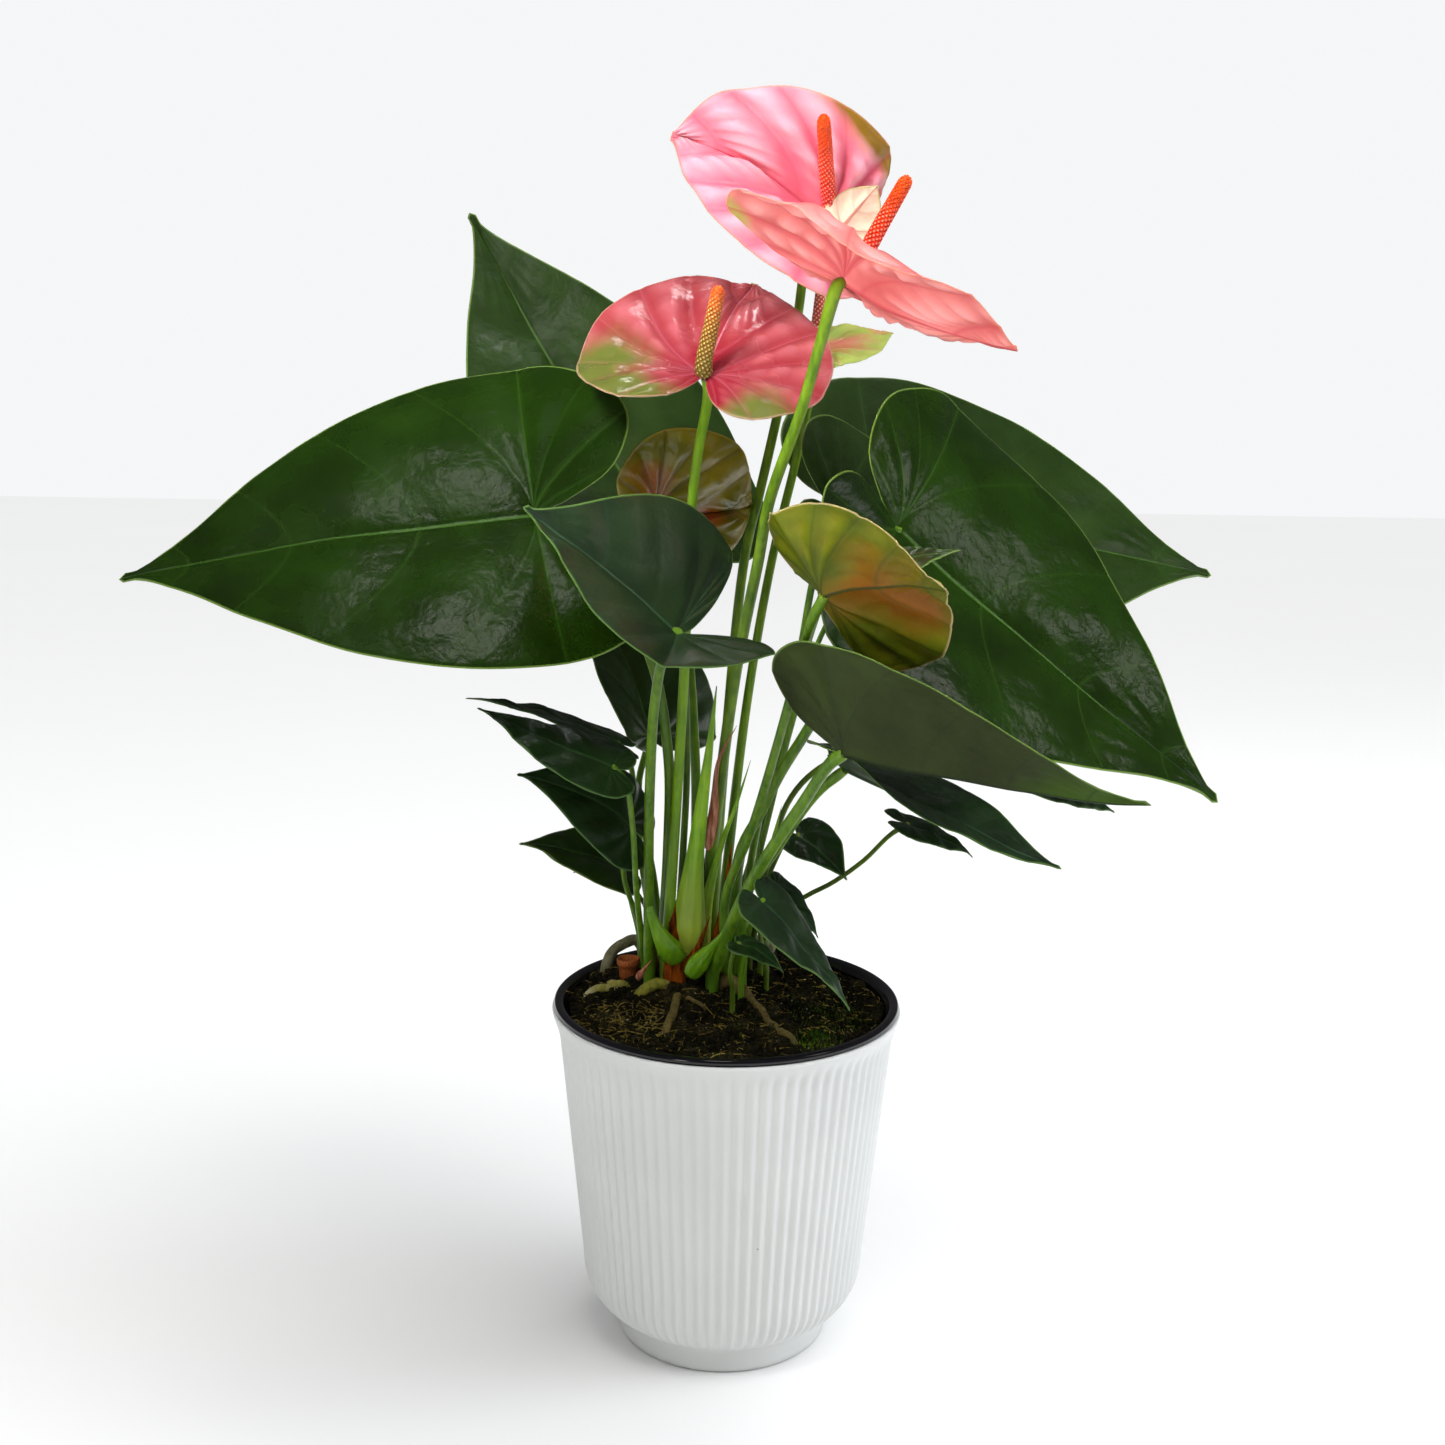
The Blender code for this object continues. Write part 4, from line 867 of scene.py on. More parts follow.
@dataclass
class VeinedBlade:
    """A blade in full: sunk veins, quilted tissue between them and a hem never quite flat."""

    blade: Blade
    outline: Outline
    skin: Skin
    patches: tuple[Patch, ...] = ()
    seed: int = 0
    veins: int = 9
    thick: float = 0.55
    quilt: float = 1.3
    groove: float = 0.2
    wave: float = 1.0
    uneven: float = 1.5
    slant: float = 0.8
    curve: float = 1.6
    rows_a_vein: int = 8
    pucker: float = 0.3
    cells: float = 4.0
    shoulder: tuple[float, float] = (0.0, 0.0)

    # Strength of a side vein beside a basal one's 1, and how much of it fades towards the hem
    WEAK, FADE = 0.45, 0.55
    # Width between veins where tissue quilts fully; a groove's half width; the stalk's calm reach
    ROOMY, GROOVE_WIDTH, CALM = 9.0, 0.6, 0.32
    # Half widths of the midrib's trough above and keel below, and how far they go
    TROUGH, KEEL = (0.55, 0.3), (0.8, 0.75)

    def half(self, side: int, columns: int) -> tuple[Array, dict[str, Array]]:
        """Make one half as rows of spots: over the upper face, round the hem and back below.

        Args:
            side: 0 for the left half, 1 for the right.
            columns: how many strips lie between midrib and hem.

        Returns:
            The spots by row and place in the row, and the marks of each spot.
        """
        blade, rows = self.blade, self.veins * self.rows_a_vein + 1
        sign = 1 if side == 0 else -1
        line = smooth_path(self.outline.value, rows)
        line[1:-1, 1] = np.maximum(line[1:-1, 1], 0.03)
        line[0], line[-1] = self.outline.value[0], self.outline.value[-1]
        ahead, full = line.T
        root = np.maximum(0.0, ahead - self.slant * 0.5 * sum(blade.broad) * full)
        root, last = root * blade.length, ahead[-1]
        edge = np.where(ahead < last, last + (ahead - last) * blade.lobes[side], ahead)
        full = full + self.shoulder[side] * bell(ahead - 0.82, 0.13) * (full > 0.001)
        edge, wide = edge * blade.length, full * blade.broad[side] * blade.length
        u = np.arange(columns + 1) / columns
        u = 0.5 * u + 0.25 * (1 - np.cos(math.pi * u))
        along = root[:, None] + u**self.curve * (edge - root)[:, None]
        across = u * wide[:, None]
        middle = (across < 1e-9)[..., None]
        spots = np.where(middle, blade.place(along, across, 0), blade.place(along, across, side))
        mean = unit(blade.facing(along, across, 0) + blade.facing(along, across, 1))
        facing = np.where(middle, mean, blade.facing(along, across, side))
        # Distance of each spot from the next side vein, the midrib and the hem
        number = np.arange(rows)[:, None] / self.rows_a_vein
        nearest = np.round(number)
        (step_a, run_a), (step_c, run_c) = np.gradient(along), np.gradient(across)
        apart = np.abs(step_a * run_c - step_c * run_a)
        apart /= np.maximum(np.hypot(run_a, run_c), 1e-6)
        basal = (root[:, None] < 1e-6) & (nearest % 2 == self.veins % 2)
        strong = np.where(basal, 1.0, self.WEAK) * (1.0 - self.FADE * u)
        vein = np.abs(number - nearest) * self.rows_a_vein * apart / strong
        vein += self.WEAK * (1.0 - strong)
        share = np.clip(along / blade.length, 0.0, 1.0)
        away = np.hypot(along, across)
        rib = np.where(along > 0, across, away) / (1.05 - 0.8 * share)
        flat = np.stack([along, across], -1)[:, :, None] - np.stack([edge, wide], -1)
        hem = np.minimum(np.linalg.norm(flat, axis=-1).min(axis=-1),
                         (1 - u) * np.hypot(edge - root, wide)[:, None])
        t = sign * across / (blade.broad[side] * blade.length)
        wash = np.zeros_like(along)
        for patch in self.patches:
            wash += (patch.weight * bell(along / blade.length - patch.along, patch.long)
                     * bell(t - patch.across, patch.wide))
        # Relief: tissue quilts up between the veins, and the whole sheet waves a little
        room = np.clip(apart * self.rows_a_vein / self.ROOMY, 0.0, 1.0)
        sag = np.clip(across / 3.0, 0.0, 1.0)
        calm = np.clip(away / (self.CALM * blade.length), 0.0, 1.0)
        cell = u * self.cells + 0.37 * np.floor(number)
        pillow = 1.0 - self.pucker * (0.5 + 0.5 * np.cos(2 * math.pi * cell))
        pillow = np.sin(math.pi * (number - np.floor(number))) ** 2 * pillow * calm * sag
        high = self.quilt * pillow * room * np.sin(math.pi * u) ** 0.5
        high -= self.groove * bell(vein, self.GROOVE_WIDTH) * sag * (0.2 + 0.8 * calm)
        scale, free = blade.length / 3.2, blade.length / 100.0
        swell = np.array([[noise.noise(Vector((a / scale, sign * c / scale, self.seed * 3.7)))
                           for a, c in zip(*row)] for row in zip(along, across)])
        ripple = np.array([[noise.noise(Vector((j / rows * 11.0, side * 9.0, self.seed * 1.9)))]
                           for j in range(rows)]) * u**3 * sag
        shift = high + (self.uneven * swell + self.wave * ripple) * min(1.2, 0.35 + free)
        thick = 0.5 * self.thick * (1.0 - 0.35 * u) * min(1.0, 0.6 + 0.5 * free)
        trough = self.TROUGH[1] * bell(rib, self.TROUGH[0]) * min(1.0, free + 0.2)
        keel = self.KEEL[1] * bell(rib, self.KEEL[0]) * (1.1 - share) * min(1.0, free)
        upper = spots + (shift + thick - trough)[..., None] * facing
        lower = spots + (shift - thick - keel)[..., None] * facing
        out = spots[:, -1] - spots[:, -2]
        out[0] = blade.turn()[:, 0]
        turned = (upper[:, -1] + lower[:, -1]) / 2 + 0.45 * self.thick * unit(out)
        marks = {key: np.concatenate([values, values[:, -1:], values[:, ::-1]], axis=1)
                 for key, values in {
                     "vein": vein, "rib": rib, "edge": hem, "patch": np.clip(wash, 0, 1),
                     # Where the painted sheen lies: the tops of the pillows
                     "puff": pillow * np.clip(room * 1.6, 0.0, 1.0),
                     "reach": away / blade.length}.items()}
        marks["upper"] = np.concatenate([np.ones_like(along), np.full((rows, 1), 0.5),
                                         np.zeros_like(along)], axis=1)
        return np.concatenate([upper, turned[:, None], lower[:, ::-1]], axis=1), marks

    def build(self, name: str, columns: int) -> bpy.types.Object:
        """Make the blade as one closed object.

        Args:
            name: the object's name.
            columns: how many strips lie between midrib and hem.

        Returns:
            The object, with its material.
        """
        spots, faces, marks = [], [], {}
        for side in (0, 1):
            rows, own = self.half(side, columns)
            start, (count, wide) = len(spots), rows.shape[:2]
            spots.extend(rows.reshape(-1, 3))
            for key, values in own.items():
                marks.setdefault(key, []).extend(values.reshape(-1))
            for j in range(count - 1):
                for i in range(wide - 1):
                    a = start + j * wide + i
                    corners = (a, a + 1, a + wide + 1, a + wide)
                    faces.append(corners if side == 0 else corners[::-1])
        thing = new_piece(name, np.array(spots), faces, **marks)
        work = bmesh.new()
        work.from_mesh(thing.data)
        bmesh.ops.remove_doubles(work, verts=work.verts, dist=0.004 * MM)
        work.to_mesh(thing.data)
        work.free()
        thing.data.shade_smooth()
        thing.data.materials.append(self.skin.value.material())
        return thing


# ------------------------------------------------------------------------------------- stalks


@dataclass
class Stalk:
    """A petiole or a flower stalk: its spot in the soil, its radius and the way it takes."""

    foot: tuple[float, float]
    radius: float
    route: list[Spot]

    def way(self, ends: list[Spot], count: int) -> Array:
        """Give points along the stalk, straight up out of the soil at first.

        Args:
            ends: the last points.
            count: how many points to give back above the soil.

        Returns:
            The points.
        """
        x, y = self.foot
        bent = smooth_path([(x, y, 131.0)] + self.route + ends, count)
        return np.vstack([[(x, y, 109.0), (x, y, 120.0)], bent])

    def radii(self, count: int) -> Array:
        """Give the radius at each point: thinner upwards, swollen at the foot and the top.

        Args:
            count: how many points the bent part has.

        Returns:
            The radii.
        """
        share = np.linspace(0.0, 1.0, count)
        swell = 0.15 * bell(share, 0.15) + 0.18 * bell(share - 0.94, 0.06)
        radii = self.radius * (1.0 - 0.15 * share + swell)
        return np.concatenate([[radii[0]] * 2, radii])


@dataclass
class Leaf:
    """One leaf: blade and petiole, grown together."""

    name: str
    blade: Blade
    stalk: Stalk
    skin: Skin
    stem: Stem = Stem.GREEN
    patches: tuple[Patch, ...] = ()
    extra: dict[str, float] = field(default_factory=dict)

    def build(self, seed: int) -> bpy.types.Object:
        """Make the leaf.

        Args:
            seed: number of its own for its small waves.

        Returns:
            The piece.
        """
        outline = Outline.SPATHE if self.name.startswith("young") else Outline.LEAF
        # Small, middling and large blades get as much detail as shows
        size = sum(self.blade.length > step for step in (40, 90))
        veins, columns, count = (7, 9, 9)[size], (11, 16, 22)[size], (26, 44, 44)[size]
        sheet = VeinedBlade(self.blade, outline, self.skin, self.patches, seed, veins,
                            **self.extra)
        thing = sheet.build(self.name + "_veined", columns)
        end = np.array(self.blade.at) + 0.35 * self.blade.turn()[:, 2]
        return joined(thing, swept(self.name + "_petiole", self.stalk.way([tuple(end)], count),
                                   self.stalk.radii(count), self.stem.value))


@dataclass
class Bloom:
    """One bloom: spathe, stalk and spadix, three pieces."""

    name: str
    blade: Blade
    stalk: Stalk
    tip: Spot
    radius: float
    skin: Skin
    spike: Spike
    patches: tuple[Patch, ...] = ()
    neck: float = 6.0
    lobe: Blade | None = None
    extra: dict[str, Any] = field(default_factory=dict)
    stem: Stem = Stem.PEDUNCLE

    def build(self, seed: int) -> None:
        """Make the three pieces and let them stand for their solids.

        Args:
            seed: number of its own for its small waves.
        """
        shape = {"quilt": 2.2, "groove": 0.35, "wave": 0.9, "thick": 0.7, "curve": 1.6,
                 "slant": 2.2, "pucker": 0.5, "cells": 5.0, **self.extra}
        spathe = VeinedBlade(self.blade, Outline.SPATHE, self.skin, self.patches, seed, 9,
                             **shape).build(self.name + "_spathe_veined", 20)
        if self.lobe is not None:
            curl = VeinedBlade(self.lobe, Outline.SPATHE, Skin.CREAM, (), seed + 7, 7, thick=0.6,
                               quilt=0.8).build(self.name + "_lobe", 10)
            joined(spathe, curl)
        finish_piece(spathe, "spathe_pink", self.name + "_spathe")
        at, upward, count = np.array(self.blade.at), self.blade.turn()[:, 2], 56
        way = self.stalk.way([tuple(at - self.neck * upward), tuple(at - 0.45 * upward)], count)
        stalk = swept(self.name + "_stalk_streaked", way, self.stalk.radii(count),
                      self.stem.value)
        finish_piece(stalk, "stalk_green", self.name + "_stalk")
        base, tip, count = at + 0.2 * upward, np.array(self.tip, float), 48
        way = smooth_path([base, base + 3.0 * upward, base + 0.55 * (tip - base) + 1.5 * upward,
                           tip], count)
        share = np.linspace(0.0, 1.0, count)
        radii = self.radius * (1.0 - 0.25 * share) * np.minimum(1.0, 0.5 + 5.0 * share)
        radii *= np.sqrt(np.clip(1.0 - ((share - 0.93) / 0.07).clip(0, 1) ** 2, 0.02, 1.0))
        # Florets stand about 1.35 mm2 each on the spike's skin
        length = float(np.linalg.norm(np.diff(way, axis=0), axis=1).sum())
        florets = int(2 * math.pi * 0.85 * self.radius * length / 1.35)
        spadix = swept(self.name + "_spadix_florets", way, radii - 0.1, self.spike.value,
                       tree=spadix_tree(), Florets=florets, Size=0.7 * MM)
        finish_piece(spadix, "spadix_orange", self.name + "_spadix")


@dataclass
class Spindle:
    """A flattened, ridged spindle: a sheath, a bract or a husk of the crown."""

    name: str
    route: list[Spot]
    width: float
    depth: float
    skin: Finish
    slot: str
    nodes: tuple[str, ...] = ()
    ridges: int = 9
    curl: float = 0.0
    waist: float = 0.0

    def build(self) -> None:
        """Make the piece and let it stand for its solid, where it has one."""
        rows, sides = 60, 40
        way, share = smooth_path(self.route, rows), np.linspace(0.0, 1.0, rows)
        taper = 0.72 + 0.28 * np.sin(math.pi * np.minimum(1.0, share / 0.5))
        taper *= np.clip(1.0 - np.maximum(0.0, share - 0.25) / 0.78, 0.02, 1.0)
        round_foot = np.sqrt(np.clip(share / 0.06, 0.02, 1.0))
        if self.waist:
            round_foot *= 0.45 + 0.55 * np.sqrt(np.clip((share - self.waist) / 0.08, 0.0, 1.0))
        axis = unit(np.gradient(way, axis=0))
        side = unit(np.cross(axis, (0.0, -1.0, 0.0)))
        angle = 2 * math.pi * np.arange(sides) / sides
        ridge = 1.0 + 0.045 * np.cos(self.ridges * angle)
        half = (0.5 * self.width * taper * round_foot)[:, None]
        deep = (0.5 * np.maximum(self.depth * taper, 0.5) * round_foot)[:, None]
        bow = self.curl * np.cos(angle) ** 2 * half
        spots = (way[:, None] + (half * ridge * np.cos(angle))[..., None] * side[:, None]
                 + (deep * ridge * np.sin(angle) - bow)[..., None] * np.cross(side, axis)[:, None])
        faces = [tuple(range(sides))[::-1], tuple(range((rows - 1) * sides, rows * sides))]
        for a in range(0, (rows - 1) * sides, sides):
            for i in range(sides):
                b = a + (i + 1) % sides
                faces.append((a + i, b, b + sides, a + i + sides))
        thing = new_piece(self.name, spots.reshape(-1, 3), faces, along=np.repeat(share, sides))
        work = bmesh.new()
        work.from_mesh(thing.data)
        bmesh.ops.recalc_face_normals(work, faces=work.faces)
        work.to_mesh(thing.data)
        work.free()
        thing.data.shade_smooth()
        thing.data.materials.append(self.skin.material())
        finish_piece(thing, self.slot, *self.nodes)


# --------------------------------------------------------------------------- pots and ground


@dataclass
class Soil:
    """Peat that fills the nursery pot and is heaped round the crown, with fibres and moss."""

    edge_height: float = 119.0
    mound: float = 10.0
    centre: tuple[float, float] = (-11.0, 15.0)
    spread: float = 30.0
    pot_radius: float = 55.4
    top_radius: float = 54.6
    floor_radius: float = 39.4
    floor_height: float = 18.8
    rings: int = 62
    sides: int = 200

    def height(self, x: float, y: float) -> float:
        """Give the height of the soil's top, with its low clods.

        Args:
            x: place to the right.
            y: place to the back.

        Returns:
            The height.
        """
        far = ((x - self.centre[0]) ** 2 + (y - self.centre[1]) ** 2) / self.spread**2
        clods = 0.7 * math.sin(0.31 * x + 0.8) * math.cos(0.27 * y - 0.4)
        clods += 0.4 * math.sin(0.62 * x - 0.45 * y)
        edge = max(0.0, 1.0 - (math.hypot(x, y) / self.pot_radius) ** 6)
        return self.edge_height + self.mound * math.exp(-far) + clods * edge

    def crumbled(self, x: float, y: float) -> float:
        """Give the height with the crumb of the peat on it (see height)."""
        spot = Vector((x, y, 0.0))
        rough = 1.5 * noise.noise(spot / 6.5) + 1.1 * noise.noise(spot / 2.3 + Vector((7, 3, 1)))
        return self.height(x, y) + rough + 0.35 * noise.noise(spot / 0.9) - 0.2

    def ring(self, radius: float, shift: float, height: float | None = None) -> list[Spot]:
        """Give one ring of points: on the crumbled top, or level.

        Args:
            radius: its radius.
            shift: how far it is turned, in points.
            height: its height where it is level.

        Returns:
            The points.
        """
        spots = []
        for j in range(self.sides):
            turn = 2 * math.pi * (j + shift) / self.sides
            x, y = radius * math.cos(turn), radius * math.sin(turn)
            spots.append((x, y, self.crumbled(x, y) if height is None else height))
        return spots

    def build(self) -> None:
        """Make the peat, its fibres and its moss."""
        n, spots = self.sides, [(0.0, 0.0, self.crumbled(0, 0))]
        for i in range(1, self.rings + 1):
            spots += self.ring(self.top_radius * (i / self.rings) ** 0.8, 0.5 * (i % 2))
        spots += self.ring(self.floor_radius, 0.5 * (self.rings % 2), self.floor_height)
        faces = [(0, 1 + j, 1 + (j + 1) % n) for j in range(n)]
        faces += [(a + j, a + n + j, a + n + (j + 1) % n, a + (j + 1) % n)
                  for a in range(1, 1 + self.rings * n, n) for j in range(n)]
        faces.append(tuple(range(1 + self.rings * n, 1 + (self.rings + 1) * n))[::-1])
        ground = new_piece("soil_crumbed", np.array(spots), faces)
        # Of each kind: how many a square metre, smallest and largest in millimetres, its seed,
        # and the middle and reach of where it lies, in metres
        everywhere = (0.0, 0.0, 0.12), 0.054
        for name, grain, skin, count, small, large, seed, (centre, reach) in (
                ("flecks", Grain.CRUMB, Ground.FLECK, 90000.0, 0.1, 0.36, 12, everywhere),
                ("moss_wide", Grain.TUFT, Ground.MOSS, 90000.0, 0.3, 0.8, 14,
                 ((0.024, -0.016, 0.119), 0.03)),
                ("fibres", Grain.FIBRE, Ground.FIBRE, 50000.0, 0.4, 1.3, 3, everywhere),
                ("fibres_left", Grain.FIBRE, Ground.FIBRE, 230000.0, 0.4, 1.3, 8,
                 ((-0.036, -0.022, 0.119), 0.017)),
                ("moss_right", Grain.TUFT, Ground.MOSS, 1300000.0, 0.5, 1.1, 4,
                 ((0.030, -0.034, 0.119), 0.008)),
                ("moss_front", Grain.TUFT, Ground.MOSS, 500000.0, 0.4, 0.9, 6,
                 ((0.036, -0.012, 0.119), 0.014)),
                ("crumbed", Grain.CRUMB, Ground.PEAT, 430000.0, 0.3, 1.5, 2, everywhere)):
            whole = name == "crumbed"
            thing = ground if whole else placed("soil_" + name, ground.data.copy())
            run_tree(thing, ground_tree(grain), Density=count, Smallest=small * MM,
                     Largest=large * MM, Seed=seed, Centre=centre, Reach=reach, Keep=whole,
                     Skin=skin.value.material())
            finish_piece(thing, "peat", *(["soil"] if whole else []))


@dataclass
class TurnedPiece:
    """A pot or plug turned from a profile of (radius, height, how far the ribs stand out)."""

    name: str
    node: str
    slot: str
    skin: Finish
    profile: list[tuple[float, float, float]]
    sides: int
    ribs: int = 0
    depth: float = 0.0
    place: Spot = (0.0, 0.0, 0.0)

    def build(self) -> None:
        """Make the piece and let it stand for its solid."""
        radius, height, ribbed = np.array(self.profile).T
        count = len(radius)
        thing = new_piece(self.name, np.stack([radius, np.zeros(count), height], -1),
                          edges=[(i, i + 1) for i in range(count - 1)], ribbed=ribbed)
        run_tree(thing, turned_tree(), Rows=count, Sides=self.sides, Ribs=self.ribs,
                 Depth=self.depth * MM, Skin=self.skin.material())
        work = bmesh.new()
        work.from_mesh(thing.data)
        bmesh.ops.translate(work, verts=work.verts, vec=Vector(self.place) * MM)
        if work.calc_volume(signed=True) < 0:
            bmesh.ops.reverse_faces(work, faces=work.faces)
        work.to_mesh(thing.data)
        work.free()
        finish_piece(thing, self.slot, self.node)


def rounded(points: list[tuple[float, ...]], steps: int) -> list[tuple[float, ...]]:
    """Run a smooth line through a few points of a profile.

    Args:
        points: the points that it passes.
        steps: how many points to give back.

    Returns:
        The new points.
    """
    return [tuple(spot) for spot in smooth_path(points, steps)]


def white_pot() -> TurnedPiece:
    """Give the cover pot: round foot, rounded belly, ribbed wall, smooth collar, rolled rim."""
    outer = [(0.0, 1.2, 0), (34.0, 1.2, 0), (34.8, 0.0, 0), (36.2, 0.0, 0), (36.8, 0.5, 0)]
    outer += rounded([(36.8, 0.5, 0), (37.3, 6.0, 0), (37.6, 9.0, 0.0)], 6)[1:]
    outer += rounded([(38.4, 9.5, 0.1), (40.6, 10.6, 0.6), (45.4, 14.8, 1), (48.6, 21.0, 1),
                      (50.2, 34.0, 1)], 22)
    outer += [(50.2 + 7.25 * t, 34.0 + 71.0 * t, 1.0) for t in np.linspace(0.05, 1.0, 14)]
    outer += rounded([(57.6, 106.0, 1), (57.8, 108.6, 1), (58.1, 110.5, 1)], 6)
    outer += rounded([(58.2, 111.0, 1), (58.8, 113.5, 0.8), (59.8, 116.4, 0.2), (60.5, 118.6, 0),
                      (60.6, 119.4, 0), (60.3, 119.9, 0), (59.9, 120.0, 0), (58.8, 119.8, 0),
                      (57.2, 119.2, 0)], 22)
    inner = rounded([(56.6, 118.4, 0), (55.6, 108.0, 0), (50.6, 60.0, 0), (46.1, 21.0, 0),
                     (40.0, 12.4, 0), (34.0, 2.4, 0)], 18) + [(33.0, 2.0, 0), (0.0, 2.0, 0)]
    return TurnedPiece("cover_pot_moulded", "cover_pot", "white_plastic", Pot.WHITE.value,
                       outer + inner, 800, 80, 0.95)


def black_pot() -> TurnedPiece:
    """Give the nursery pot: a thin wall and a rolled lip that hangs on the white rim."""
    profile = [(0.0, 17.0, 0), (40.6, 17.0, 0), (41.0, 17.4, 0)]
    profile += rounded([(41.0, 17.4, 0), (48.2, 67.0, 0), (55.4, 117.3, 0)], 8)[1:]
    profile += rounded([(55.6, 119.4, 0), (56.0, 120.3, 0), (57.2, 120.35, 0), (59.2, 120.3, 0),
                        (59.9, 120.6, 0), (60.0, 121.2, 0), (59.7, 122.0, 0), (58.9, 122.45, 0),
                        (57.9, 122.4, 0), (56.9, 121.9, 0), (56.2, 120.8, 0)], 34)
    profile += rounded([(55.3, 118.5, 0), (54.5, 114.0, 0), (47.2, 64.0, 0), (40.0, 18.7, 0)], 10)
    profile += [(0.0, 18.5, 0)]
    return TurnedPiece("nursery_pot_moulded", "nursery_pot", "black_plastic", Pot.BLACK.value,
                       profile, 200)


@dataclass
class Root:
    """An aerial root that creeps over the soil: knobbly, dull, with blunt ends."""

    name: str
    radius: float
    route: list[Spot]
    skin: Stem
    node: str | None = None
    knobs: float = 0.12

    def build(self, soil: Soil) -> None:
        """Make the root over the soil and let it stand for its solid.

        Args:
            soil: the ground that it lies on; the route's heights are above it.
        """
        way = np.array([(x, y, soil.height(x, y) + above)
                        for x, y, above in smooth_path(self.route, 48)])
        radii = np.array([self.radius * (1 + self.knobs * noise.noise(Vector(spot) / 2.6))
                          for spot in way.tolist()])
        share = np.linspace(0.0, 1.0, len(way))
        radii *= np.sqrt(np.clip(np.minimum(share, 1 - share) / 0.05, 0.05, 1.0))
        thing = swept(self.name, way, radii, self.skin.value, 16)
        finish_piece(thing, "root_grey", *([self.node] if self.node else []))


# ---------------------------------------------------------------------------- the whole plant


